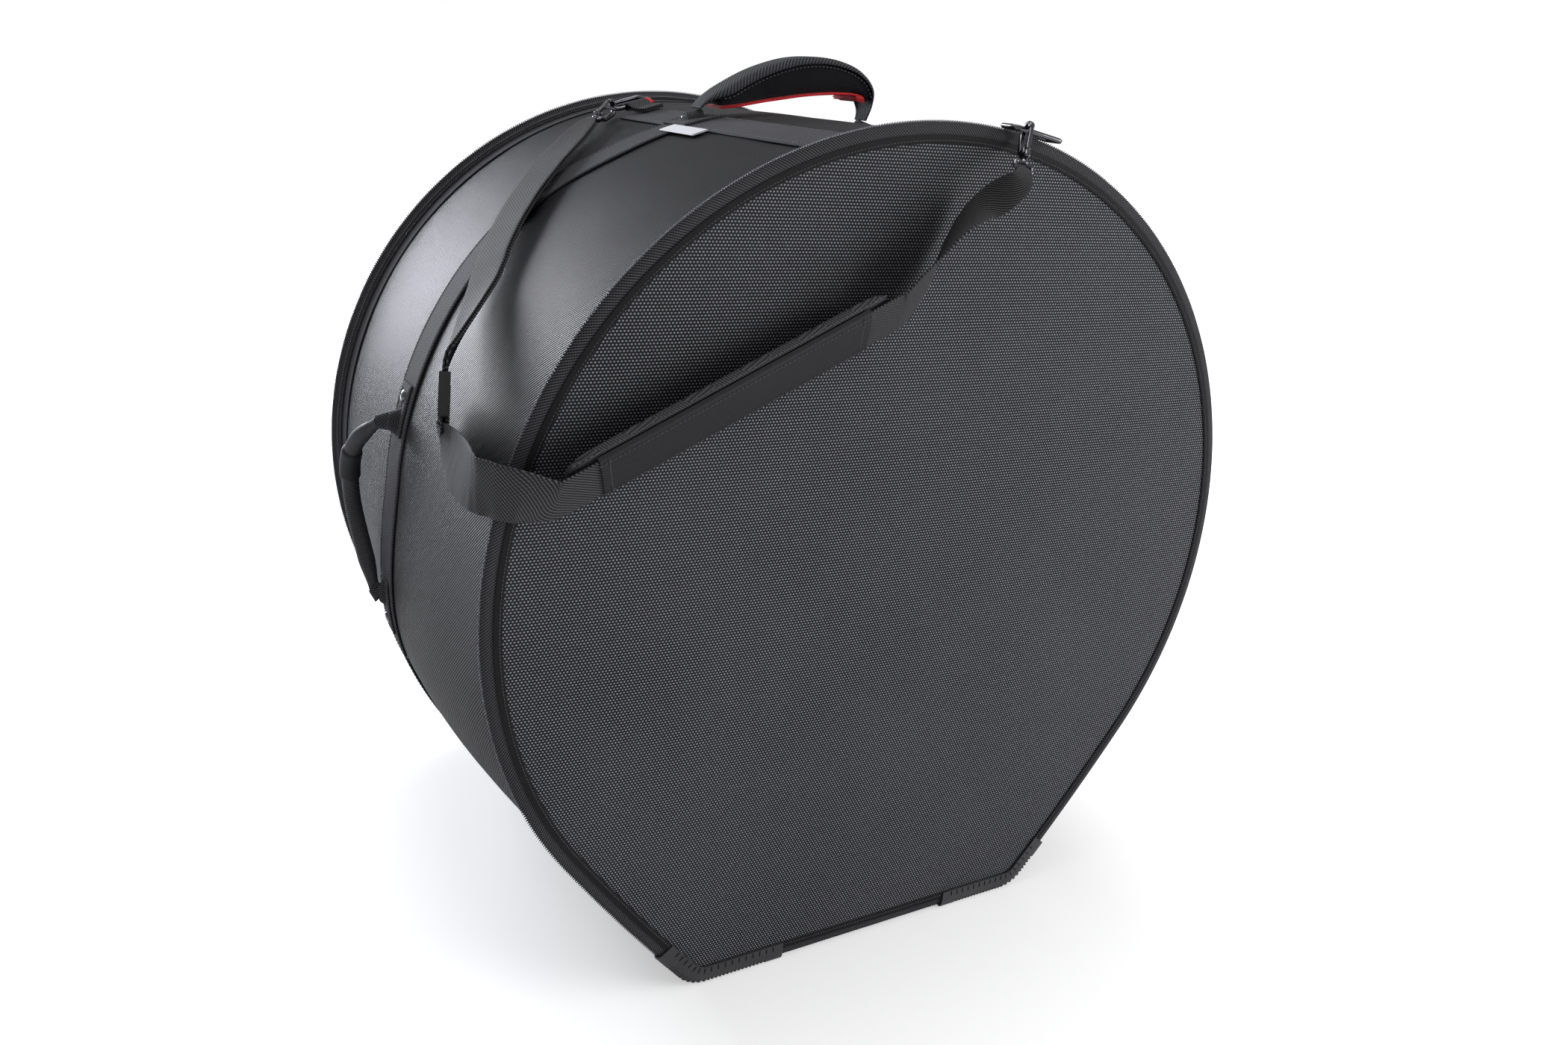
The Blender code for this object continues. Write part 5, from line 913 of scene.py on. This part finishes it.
def makeSideHandle(side, sign):
    body = "side_handle_" + side.lower()
    path = cutCorners(np.array(grip["path"]), 3, closed=False)
    path = resample(path, 0.0005, 4)
    path[:, 0] = 2 * bag["centre"][0] * (sign > 0) - sign * path[:, 0] if sign > 0 else path[:, 0]
    share = walked(path) / walked(path)[-1]
    radius = grip["radius"] * (0.62 + 0.38 * smoothStep(np.minimum(share, 1 - share) * 6))
    piece = tube("grip" + side, path, radius - 0.0001, 22, (1, 0, 0), ridge=0.00016, pitch=0.0019)
    finishPiece(piece, finishes["gripRibs"], body, (body + "_grip",))
    low, high = (int(value * len(path)) for value in grip["coverShares"])
    inner = share[low:high]
    ends = np.minimum(inner - inner[0], inner[-1] - inner) / (inner[-1] - inner[0])
    wrap = grip["radius"] + grip["cover"] * smoothStep(ends * 9) ** 0.5
    cover = tube("gripCover" + side, path[low:high], wrap, 26, (1, 0, 0))
    finishPiece(cover, finishes["sleeveCloth"], body, (body + "_cover",))
    for place, end, angle in (("Top", 0, grip["angles"][0]), ("Bottom", -1, grip["angles"][1])):
        makeNeck("gripNeck" + side + place, sign * placeAt(angle), path[end], body)
    for place, angle, towards, height in (("Top", grip["angles"][0], 1, grip["gusset"][0]),
                                          ("Bottom", grip["angles"][1], -1, grip["gusset"][1])):
        reach = grip["tabLength"]
        centre = sign * placeAt(angle)
        middle = centre - sign * towards * reach * 0.25
        s = np.linspace(middle - reach / 2, middle + reach / 2, 24)
        section = stadium(grip["tabWidth"], web["thick"], across=9)
        tab = sweptRound("gripTab" + side + place, s, grip["middle"] + section[None, :, 0],
                         foot["low"] + web["thick"] / 2 + section[None, :, 1], v=section[:, 0])
        finishPiece(tab, finishes["webRibs"], "bag", (body + "_tab_" + place.lower(),))
        makeGusset("gripGusset" + side + place, centre, height)
        boxStitch("gripStitch" + side + place, middle - sign * towards * 0.004, grip["middle"], 0.013, 0.009,
                  foot["low"] + web["thick"] + 0.0001)
        roundRivet("gripRivet" + side + place, centre - sign * towards * reach / 2, grip["middle"],
                   foot["low"] + web["thick"])


def makeGusset(name, centre, height):
    # folded web: an oval that narrows from the tab up to the grip's end
    lift = np.linspace(0, 1, 14)[:, None]
    turn = np.linspace(0, 2 * np.pi, 28, endpoint=False)[None]
    alongHalf = 0.0110 + (0.0048 - 0.0110) * lift ** 0.8
    depthHalf = 0.0060 + (0.0034 - 0.0060) * lift
    s = centre + alongHalf * np.sign(np.cos(turn)) * np.abs(np.cos(turn)) ** 0.7
    y = grip["middle"] + depthHalf * np.sign(np.sin(turn)) * np.abs(np.sin(turn)) ** 0.7
    out = foot["low"] + web["thick"] / 2 + (height + web["thick"] / 2) * np.sin(lift * np.pi / 2) ** 1.1
    piece = surface(name, wallAt(s, y, out), wrapCols=True, caps=True)
    finishPiece(piece, finishes["webRibs"], "bag")


def makeNeck(name, s, end, body):
    # web wrapped from the gusset to the grip's end: an oval carried along a straight line
    start = wallAt(s, grip["middle"], foot["low"] + web["thick"] + 0.002).reshape(3)
    lift = np.linspace(0, 1.12, 12)[:, None]
    along = unit(end - start)
    round_ = unit(np.cross(along, np.array((0.0, 1.0, 0.0))))
    across = np.cross(round_, along)
    turn = np.linspace(0, 2 * np.pi, 24, endpoint=False)[None]
    wide, deep = 0.0085 - 0.0030 * lift, 0.0034 + 0.0018 * lift
    points = (start + (lift * np.ones_like(turn))[..., None] * (end - start)
              + (wide * np.cos(turn))[..., None] * round_ + (deep * np.sin(turn))[..., None] * across)
    finishPiece(surface(name, points, wrapCols=True, caps=True), finishes["webRibs"], body)


makeSideHandle("Left", -1)
makeSideHandle("Right", 1)

# Rings, their folded loops, and the snap hooks
print("bag: rings and hooks")
ringLook = {"halfLength": 0.01975, "halfWidth": 0.00925, "corner": 0.00325, "wire": 0.00175}
rings = {
    "front": {"place": (0.0660, -0.1964, 0.6510), "along": (0.9704, -0.1392, -0.1974),
              "free": (-0.1416, -0.9899, 0.0021), "up": (0.1994, 0.0, 0.9799), "length": 0.026,
              "drop": 0.0098, "tail": ((0.0, 0.0), (0.30, -0.10), (0.62, -0.60), (1.0, -0.60))},
    "back": {"place": (-0.0808, 0.1481, 0.6437), "along": (0.9216, 0.3090, 0.2349),
             "free": (-0.3344, 0.9393, 0.0762), "up": (-0.2470, 0.0, 0.9690), "length": 0.024,
             "drop": 0.0045, "tail": ((0.0, 0.0), (0.30, -0.30), (0.50, -0.62), (1.0, -0.62))},
}
hooks = {
    "front": {"place": (0.0364, -0.2347, 0.6321), "aim": (0.4999, 0.6199, 0.6049),
              "side": (0.8661, -0.3574, -0.3495)},
    "back": {"place": (-0.1255, 0.1281, 0.6311), "aim": (0.6966, 0.6706, 0.2552),
             "side": (0.6516, -0.7401, 0.1661)},
}


def roundedLoop(halfA, halfB, corner, steps=8):
    # rectangle with quarter circles at its corners
    turn = np.radians(np.linspace(0, 90, steps))
    parts = []
    for k, (a, b) in enumerate(((1, 1), (-1, 1), (-1, -1), (1, -1))):
        angle = turn + k * np.pi / 2
        parts.append(np.stack([a * (halfA - corner) + corner * np.cos(angle),
                               b * (halfB - corner) + corner * np.sin(angle)], -1))
    return np.concatenate(parts)


def loopRows(ring, low, high):
    # web folded round the bar: upper layer in, half turn, lower layer out, laid down on the wall
    along = np.array(ring["along"])
    up = np.array(ring["up"])
    backwards = unit(np.cross(along, up))
    backwards = -backwards if backwards @ np.array(ring["free"]) > 0 else backwards
    rise = unit(up - backwards * (up @ backwards))
    half = (web["thick"] + gap) / 2
    fold = ringLook["wire"] + gap + web["thick"] / 2
    tail = np.array(ring["tail"]) * (ring["length"], ring["drop"])
    tail = cutCorners(tail, 2, closed=False)
    way = unit(np.gradient(tail, axis=0))
    normal = np.stack([-way[:, 1], way[:, 0]], -1)
    near = smoothStep(tail[:, :1] / 0.008)
    spread = fold + (half - fold) * near
    turn = np.radians(np.linspace(100, 260, 9))
    bend = np.stack([fold * np.cos(turn), fold * np.sin(turn)], -1)
    flat = np.concatenate([(tail + normal * spread)[::-1], bend, tail - normal * spread])
    points = (np.array(ring["place"]) + along * (low + high) / 2 + flat[:, :1] * backwards
              + flat[:, 1:] * rise)
    rows = np.zeros((len(points), 7))
    rows[:, :3], rows[:, 3:6], rows[:, 6] = points, along, high - low
    return rows


loop = roundedLoop(ringLook["halfLength"], ringLook["halfWidth"], ringLook["corner"])
for label, ring in rings.items():
    along, free = np.array(ring["along"]), np.array(ring["free"])
    path = np.array(ring["place"]) + loop[:, :1] * along + (loop[:, 1:] + ringLook["halfWidth"]) * free
    piece = tube("ring" + label.capitalize(), path, ringLook["wire"], 16, np.cross(along, free), closed=True)
    finishPiece(piece, finishes["darkChrome"], "ring_" + label, ("ring_" + label,))
    piece, _ = ribbon("ringLoop" + label.capitalize(), loopRows(ring, -0.011, 0.011), web["thick"], 0.0012, 2)
    finishPiece(piece, finishes["webRibs"], "bag", ("ring_loop_" + label,))
tag = dict(rings["back"], tail=((0.0, 0.0), (0.30, -0.30), (0.34, -0.38)))
piece, _ = ribbon("redTag", loopRows(tag, 0.0113, 0.0148), web["thick"], 0.0012, 2)
finishPiece(piece, finishes["redMesh"], "bag", ("red_tag",))
eye = roundedLoop(0.0035, 0.0068, 0.0028)
for label, hook in hooks.items():
    aim, side = np.array(hook["aim"]), np.array(hook["side"])
    path = np.array(hook["place"]) + (eye[:, :1] - 0.0035) * aim + eye[:, 1:] * side
    piece = tube("hookEye" + label.capitalize(), path, 0.0016, 14, np.cross(aim, side), closed=True)
    finishPiece(piece, finishes["darkChrome"], "bag", ("hook_" + label + "_eye",))
    lift = np.array((-0.0016, -0.0008, 0.0, 0.0024, 0.0028, 0.0034))[:, None]
    stem = tube("hookStem" + label.capitalize(), np.array(hook["place"]) + lift * aim,
                np.array((0.0018, 0.0026, 0.0026, 0.0026, 0.0024, 0.0020)), 16, side)
    finishPiece(stem, finishes["darkChrome"], "bag")
    roundedCopy("hook" + label.capitalize(), "hook_" + label, "hook_" + label, 0.0011, "darkChrome")
    roundedCopy("hookGate" + label.capitalize(), "hook_" + label + "_gate", "hook_" + label + "_gate",
                0.0005, "darkChrome")

# Shoulder strap: rows hold a point, the width's direction and the width
print("bag: shoulder strap")
strap = {
    "thick": 0.0016,
    "upper": (
        (-0.3139, -0.0820, 0.4494, -0.2432, -0.8709, 0.4270, 0.0400),
        (-0.3100, -0.0725, 0.4710, -0.2432, -0.8709, 0.4270, 0.0400),
        (-0.2898, -0.0464, 0.4913, 0.0643, -0.8610, 0.5046, 0.0400),
        (-0.2737, -0.0255, 0.5078, 0.3000, -0.7943, 0.5283, 0.0400),
        (-0.2678, -0.0178, 0.5141, 0.3693, -0.7652, 0.5274, 0.0400),
        (-0.2592, -0.0059, 0.5248, 0.4166, -0.7502, 0.5134, 0.0400),
        (-0.2540, 0.0015, 0.5323, 0.4010, -0.7708, 0.4951, 0.0400),
        (-0.2469, 0.0106, 0.5408, 0.4113, -0.7784, 0.4743, 0.0400),
        (-0.2391, 0.0201, 0.5495, 0.4206, -0.7872, 0.4510, 0.0400),
        (-0.2258, 0.0345, 0.5629, 0.4346, -0.7989, 0.4158, 0.0400),
        (-0.2187, 0.0418, 0.5695, 0.4439, -0.8020, 0.3997, 0.0400),
        (-0.2039, 0.0559, 0.5821, 0.4709, -0.7982, 0.3757, 0.0400),
        (-0.1967, 0.0627, 0.5877, 0.4855, -0.7940, 0.3659, 0.0400),
        (-0.1886, 0.0710, 0.5938, 0.5011, -0.7856, 0.3629, 0.0414),
        (-0.1780, 0.0812, 0.6008, 0.5286, -0.7764, 0.3433, 0.0400),
        (-0.1616, 0.0958, 0.6110, 0.5810, -0.7655, 0.2765, 0.0320),
        (-0.1433, 0.1116, 0.6220, 0.6355, -0.7476, 0.1932, 0.0216),
        (-0.1370, 0.1171, 0.6258, 0.6516, -0.7401, 0.1661, 0.0176),
        (-0.1296, 0.1238, 0.6268, 0.6516, -0.7401, 0.1661, 0.0088),
        (-0.1288, 0.1247, 0.6275, 0.6516, -0.7401, 0.1661, 0.0088),
        (-0.1284, 0.1253, 0.6287, 0.6516, -0.7401, 0.1661, 0.0088),
        (-0.1285, 0.1255, 0.6300, 0.6516, -0.7401, 0.1661, 0.0088),
        (-0.1292, 0.1252, 0.6312, 0.6516, -0.7401, 0.1661, 0.0088),
        (-0.1302, 0.1245, 0.6319, 0.6516, -0.7401, 0.1661, 0.0088),
        (-0.1312, 0.1236, 0.6319, 0.6516, -0.7401, 0.1661, 0.0088),
        (-0.1378, 0.1169, 0.6278, 0.6516, -0.7401, 0.1661, 0.0176),
        (-0.1530, 0.1039, 0.6188, 0.6106, -0.7569, 0.2328, 0.0267),
        (-0.1718, 0.0877, 0.6072, 0.5516, -0.7720, 0.3158, 0.0367),
        (-0.1792, 0.0812, 0.6026, 0.5286, -0.7764, 0.3433, 0.0400),
        (-0.1898, 0.0710, 0.5956, 0.5011, -0.7856, 0.3629, 0.0414),
        (-0.1980, 0.0626, 0.5894, 0.4855, -0.7940, 0.3659, 0.0400),
        (-0.2128, 0.0489, 0.5776, 0.4564, -0.8014, 0.3867, 0.0400),
        (-0.2202, 0.0418, 0.5712, 0.4439, -0.8020, 0.3997, 0.0400),
        (-0.2343, 0.0271, 0.5576, 0.4274, -0.7932, 0.4338, 0.0400),
        (-0.2407, 0.0201, 0.5510, 0.4206, -0.7872, 0.4510, 0.0400),
        (-0.2486, 0.0106, 0.5423, 0.4113, -0.7784, 0.4743, 0.0400),
        (-0.2557, 0.0015, 0.5337, 0.4010, -0.7708, 0.4951, 0.0400),
        (-0.2609, -0.0059, 0.5262, 0.4166, -0.7502, 0.5134, 0.0400),
        (-0.2695, -0.0177, 0.5154, 0.3693, -0.7652, 0.5274, 0.0400),
        (-0.2831, -0.0351, 0.5011, 0.1935, -0.8308, 0.5218, 0.0400),
        (-0.2999, -0.0564, 0.4839, -0.0657, -0.8760, 0.4779, 0.0400),
        (-0.3120, -0.0717, 0.4715, -0.2432, -0.8709, 0.4270, 0.0400),
        (-0.3160, -0.0814, 0.4495, -0.2432, -0.8709, 0.4270, 0.0400)),
    "lower": (
        (-0.3160, -0.0815, 0.4492, -0.2432, -0.8709, 0.4270, 0.0400),
        (-0.3210, -0.0939, 0.4212, -0.2432, -0.8709, 0.4270, 0.0400),
        (-0.3219, -0.1055, 0.4212, -0.0697, -0.6852, 0.7250, 0.0400),
        (-0.3228, -0.1208, 0.4214, 0.1007, -0.4530, 0.8858, 0.0400),
        (-0.3237, -0.1340, 0.4223, 0.0737, -0.6474, 0.7586, 0.0400),
        (-0.3250, -0.1500, 0.4236, 0.0000, -0.8211, 0.5708, 0.0400),
        (-0.3262, -0.1617, 0.4243, -0.0083, -0.7924, 0.6100, 0.0400),
        (-0.3277, -0.1754, 0.4252, -0.0096, -0.7100, 0.7042, 0.0400),
        (-0.3287, -0.1889, 0.4260, -0.0060, -0.5992, 0.8006, 0.0400),
        (-0.3280, -0.2001, 0.4264, 0.0000, -0.5070, 0.8619, 0.0400),
        (-0.3207, -0.2154, 0.4263, 0.0488, -0.3842, 0.9219, 0.0400),
        (-0.3104, -0.2246, 0.4252, 0.0500, -0.3397, 0.9392, 0.0400),
        (-0.2983, -0.2268, 0.4223, -0.1465, -0.4691, 0.8709, 0.0400),
        (-0.2883, -0.2260, 0.4196, -0.3393, -0.5878, 0.7344, 0.0400),
        (-0.1656, -0.2260, 0.4762, -0.3393, -0.5878, 0.7344, 0.0400)),
    "tail": (
        (-0.3139, -0.0822, 0.4491, -0.2432, -0.8709, 0.4270, 0.0380),
        (-0.3162, -0.0877, 0.4364, -0.2432, -0.8709, 0.4270, 0.0380),
        (-0.3143, -0.0937, 0.4254, -0.2432, -0.8709, 0.4270, 0.0380),
        (-0.3100, -0.1014, 0.4136, 0.2675, -0.8987, 0.3475, 0.0380)),
    "short": (
        (0.0281, -0.2440, 0.6213, 0.8661, -0.3574, -0.3495, 0.0176),
        (0.0329, -0.2369, 0.6259, 0.8661, -0.3574, -0.3495, 0.0088),
        (0.0336, -0.2363, 0.6270, 0.8661, -0.3574, -0.3495, 0.0088),
        (0.0341, -0.2364, 0.6283, 0.8661, -0.3574, -0.3495, 0.0088),
        (0.0343, -0.2371, 0.6295, 0.8661, -0.3574, -0.3495, 0.0088),
        (0.0341, -0.2383, 0.6302, 0.8661, -0.3574, -0.3495, 0.0088),
        (0.0336, -0.2396, 0.6303, 0.8661, -0.3574, -0.3495, 0.0088),
        (0.0329, -0.2407, 0.6298, 0.8661, -0.3574, -0.3495, 0.0088),
        (0.0277, -0.2460, 0.6223, 0.8661, -0.3574, -0.3495, 0.0176),
        (0.0231, -0.2435, 0.6169, 0.6464, -0.6175, -0.4482, 0.0208),
        (0.0186, -0.2390, 0.6116, 0.3107, -0.8284, -0.4660, 0.0240),
        (0.0152, -0.2341, 0.6073, 0.1061, -0.9236, -0.3685, 0.0284),
        (0.0106, -0.2300, 0.6021, -0.0525, -0.9763, -0.2100, 0.0328),
        (0.0022, -0.2286, 0.5943, -0.1708, -0.9851, 0.0191, 0.0369),
        (-0.0065, -0.2282, 0.5855, -0.2595, -0.9381, 0.2295, 0.0400),
        (-0.0128, -0.2276, 0.5769, -0.3427, -0.8892, 0.3032, 0.0404),
        (-0.0180, -0.2273, 0.5685, -0.4205, -0.8410, 0.3404, 0.0400),
        (-0.0220, -0.2270, 0.5616, -0.5041, -0.7728, 0.3855, 0.0400),
        (-0.0265, -0.2268, 0.5541, -0.5443, -0.7056, 0.4536, 0.0400),
        (-0.0320, -0.2265, 0.5468, -0.4987, -0.6686, 0.5517, 0.0400),
        (-0.0427, -0.2260, 0.5331, -0.3393, -0.5878, 0.7344, 0.0400),
        (-0.1654, -0.2260, 0.4764, -0.3393, -0.5878, 0.7344, 0.0400)),
}
for part in ("upper", "lower", "tail", "short"):
    piece, rows = ribbon("strap" + part.capitalize(), strap[part], strap["thick"], 0.0020, 3)
    finishPiece(piece, finishes["strapWeb"], "bag", ("strap_" + part,))
roundedCopy("strapSlider", "strap_slider", "strap_slider", 0.0006, "sliderPlastic")

# Shoulder pad with the sleeve that holds it on the strap
print("bag: shoulder pad")
pad = {"centre": (-0.1670, -0.2214, 0.4796), "along": (0.9078, 0.0, 0.4195),
       "across": (-0.3393, -0.5878, 0.7344), "out": (0.2465, -0.8090, -0.5336), "length": 0.250,
       "width": 0.046, "front": 0.0050, "back": 0.0062, "sleeveLength": 0.206, "sleeveHalf": 0.0214,
       "sleeveTop": 0.0080, "sleeveWall": 0.0012}
padCentre, padAlong, padAcross, padOut = (np.array(pad[key]) for key in ("centre", "along", "across", "out"))
place = np.sin(np.linspace(-np.pi / 2, np.pi / 2, 90))
turn = np.linspace(0, 2 * np.pi, 48, endpoint=False)
ends = np.clip(1 - np.abs(place) ** 16, 0.02, 1)
wide = pad["width"] / 2 * ends ** 0.35
cosine, sine = np.cos(turn), np.sin(turn)
across = np.sign(cosine) * np.abs(cosine) ** 0.75
up = np.sign(sine) * np.abs(sine) ** 0.6
channel = 1 - 0.35 * np.exp(-((np.abs(across) - 0.86) / 0.035) ** 2)
deep = np.where(sine > 0, pad["front"], pad["back"])[None] * (ends ** 0.5)[:, None] * channel[None]
points = (padCentre + (place * pad["length"] / 2)[:, None, None] * padAlong
          + (wide[:, None] * across[None])[..., None] * padAcross + (deep * up[None])[..., None] * padOut)
padPiece = surface("shoulderPad", points, wrapCols=True, caps=True)
finishPiece(padPiece, finishes["padTwill"], "shoulder_pad", ("shoulder_pad",))
half, top, wallThick = pad["sleeveHalf"], pad["sleeveTop"], pad["sleeveWall"]
outer = np.array(((-half, 0.0042), (-half + 0.0002, top - 0.0012), (-half + 0.0022, top), (0.0, top + 0.0005),
                  (half - 0.0022, top), (half - 0.0002, top - 0.0012), (half, 0.0042)))
outer = cutCorners(outer, 2, closed=False)
innerLine = outer * (0.95, 1.0) - (0.0, wallThick)
innerLine[:, 1] = np.maximum(innerLine[:, 1], 0.0040)
section = np.concatenate([outer, innerLine[::-1]])
place = np.linspace(-0.5, 0.5, 120) * pad["sleeveLength"]
points = (padCentre + place[:, None, None] * padAlong + section[None, :, :1] * padAcross
          + section[None, :, 1:] * padOut)
sleeve = surface("padSleeve", points, u=place, v=walked(section), wrapCols=True, caps=True)
finishPiece(sleeve, finishes["sleeveCloth"], "shoulder_pad", ("pad_sleeve",))
for label, offset, height in (("Upper", 0.0172, 0.0082), ("Lower", -0.0172, 0.0082)):
    line = padCentre + place[:, None] * padAlong + offset * padAcross + height * padOut
    stitches("sleeveStitch" + label, line, padOut, 0.0033, (0.0024, 0.0009, 0.0007), finishes["thread"],
             "shoulder_pad")
edgeLine = np.linspace(-0.47, 0.47, 200)[:, None] * pad["length"]
for label, sign in (("Upper", 1), ("Lower", -1)):
    line = padCentre + edgeLine * padAlong + sign * 0.0222 * padAcross + 0.0018 * padOut
    stitches("padStitch" + label, line, padOut, 0.0040, (0.0030, 0.0011, 0.0009), finishes["thread"],
             "shoulder_pad")
for label, sign in (("Left", -1), ("Right", 1)):
    edge = sign * (pad["sleeveLength"] / 2 - 0.006)
    line = padCentre + edge * padAlong + np.linspace(-0.019, 0.019, 40)[:, None] * padAcross + 0.0083 * padOut
    stitches("sleeveEnd" + label, line, padOut, 0.0030, (0.0023, 0.0009, 0.0007), finishes["thread"],
             "shoulder_pad")

# Blank fold-over label at the left cross web
label = {"length": 0.058, "width": 0.014, "thick": 0.0012, "low": 0.0021}
labelS = -(placeAt(crossEdge) + gap + label["width"] / 2)
labelEnd = web["low"] - web["shift"] / 4
piece = bandAlongDepth("whiteLabel", labelS, label["width"], labelEnd - label["length"], labelEnd,
                       label["low"], label["thick"], 40)
finishPiece(piece, finishes["labelCloth"], "bag", ("white_label",))


# Padding swells by a short cloth run
def swell(piece, cap, voxel=0.004, pressure=4.0):
    # rest + shift * min(1, cap / |shift|), after 20 frames under pressure with no gravity
    remesh = piece.modifiers.new("even", "REMESH")
    remesh.mode = "VOXEL"
    remesh.voxel_size = voxel
    graph = bpy.context.evaluated_depsgraph_get()
    materials = list(piece.data.materials)
    piece.data = bpy.data.meshes.new_from_object(piece.evaluated_get(graph))
    piece.modifiers.remove(remesh)
    piece.data.materials.clear()
    piece.data.materials.append(materials[0])
    rest = np.zeros(len(piece.data.vertices) * 3)
    piece.data.vertices.foreach_get("co", rest)
    cloth = piece.modifiers.new("swell", "CLOTH")
    cloth.settings.use_pressure = True
    cloth.settings.uniform_pressure_force = pressure
    cloth.settings.effector_weights.gravity = 0.0
    cloth.point_cache.frame_start, cloth.point_cache.frame_end = 1, 20
    for number in range(1, 21):
        bpy.context.scene.frame_set(number)
    graph = bpy.context.evaluated_depsgraph_get()
    moved = np.zeros(len(rest))
    piece.evaluated_get(graph).data.vertices.foreach_get("co", moved)
    shift = (moved - rest).reshape(-1, 3)
    size = np.maximum(np.linalg.norm(shift, axis=1, keepdims=True), 1e-9)
    rest = rest.reshape(-1, 3) + shift * np.minimum(1.0, cap / size)
    piece.modifiers.remove(cloth)
    piece.data.vertices.foreach_set("co", rest.ravel())
    piece.data.shade_smooth()
    finer = piece.modifiers.new("finer", "SUBSURF")
    finer.levels = finer.render_levels = 1
    bpy.context.scene.frame_set(1)


print("bag: swelling the handle's padding")
swell(handlePad, 0.0012)

# Camera, floor and lamps
print("bag: camera and light")
scene = bpy.context.scene
camera = bpy.data.objects.new("camera", bpy.data.cameras.new("camera"))
scene.collection.objects.link(camera)
camera.data.lens = 28.652
camera.data.sensor_width = 36.0
camera.matrix_world = Matrix((
    (0.86263907, 0.10348066, -0.4951218, -0.54506), (-0.50000581, 0.32243762, -0.80375877, -0.90847),
    (0.07647241, 0.94091749, 0.32988822, 0.66955), (0.0, 0.0, 0.0, 1.0)))
scene.camera = camera
scene.view_settings.view_transform = "Standard"

light = {
    "world": 0.40, "floorGlow": 0.40, "floor": (0.90, 0.90, 0.90), "glowFrom": 0.75, "glowTo": 1.5,
    "lamps": (
        ("rearLeft", (-0.80, 3.0, 1.05), (-0.2, 0.0, 0.50), 1.0, 1.3, 115.0, (0.90, 0.92, 1.0)),
        ("frontRight", (2.6, -2.2, 1.1), (0.0, -0.2, 0.30), 2.2, 1.6, 75.0, (1.0, 1.0, 1.0)),
        ("top", (0.2, 0.6, 3.2), (0.0, 0.0, 0.30), 2.4, 2.0, 45.0, (1.0, 1.0, 1.0)),
    ),
}


def aimLamp(name, place, target, width, height, power, colour):
    data = bpy.data.lights.new(name, "AREA")
    data.shape = "RECTANGLE"
    data.size, data.size_y, data.energy, data.color = width, height, power, colour
    lamp = bpy.data.objects.new(name, data)
    scene.collection.objects.link(lamp)
    away = unit(np.array(place, float) - np.array(target, float))
    right = unit(np.cross((0.0, 0.0, 1.0), away))
    up = np.cross(away, right)
    matrix = np.eye(4)
    matrix[:3, 0], matrix[:3, 1], matrix[:3, 2], matrix[:3, 3] = right, up, away, place
    lamp.matrix_world = Matrix(matrix.tolist())
    lamp.visible_camera = False


for entry in light["lamps"]:
    aimLamp(*entry)


def seenByCamera(tree):
    # 1 for rays that show the background itself
    return tree.nodes.new("ShaderNodeLightPath").outputs["Is Camera Ray"]


world = bpy.data.worlds.new("studio")
world.use_nodes = True
scene.world = world
tree = world.node_tree
background = tree.nodes["Background"]
background.inputs["Color"].default_value = (1.0, 1.0, 1.0, 1.0)
plug(tree, background.inputs["Strength"], ramp(tree, seenByCamera(tree), 0.0, 1.0, light["world"], 1.0))

floorPoints = np.array([[[-9.0, -9.0, 0.0], [-9.0, 9.0, 0.0]], [[9.0, -9.0, 0.0], [9.0, 9.0, 0.0]]])
floorPoints[..., 2] = -0.0001
floor = surface("floor", floorPoints)
floor.data.flip_normals() if floor.data.polygons[0].normal.z < 0 else None
paper = bpy.data.materials.new("paleFloor")
paper.use_nodes = True
tree = paper.node_tree
shader = tree.nodes["Principled BSDF"]
shader.inputs["Base Color"].default_value = (*light["floor"], 1.0)
shader.inputs["Roughness"].default_value = 0.9
shader.inputs["Specular IOR Level"].default_value = 0.1
shader.inputs["Emission Color"].default_value = (1.0, 1.0, 1.0, 1.0)
away = tree.nodes.new("ShaderNodeVectorMath")
away.operation = "LENGTH"
tree.links.new(tree.nodes.new("ShaderNodeTexCoord").outputs["Object"], away.inputs[0])
glow = ramp(tree, away.outputs["Value"], light["glowFrom"], light["glowTo"], light["floorGlow"], 1.0, "SMOOTHSTEP")
plug(tree, shader.inputs["Emission Strength"], maths(tree, "MULTIPLY", seenByCamera(tree), glow))
floor.data.materials.append(paper)

print("bag: done")
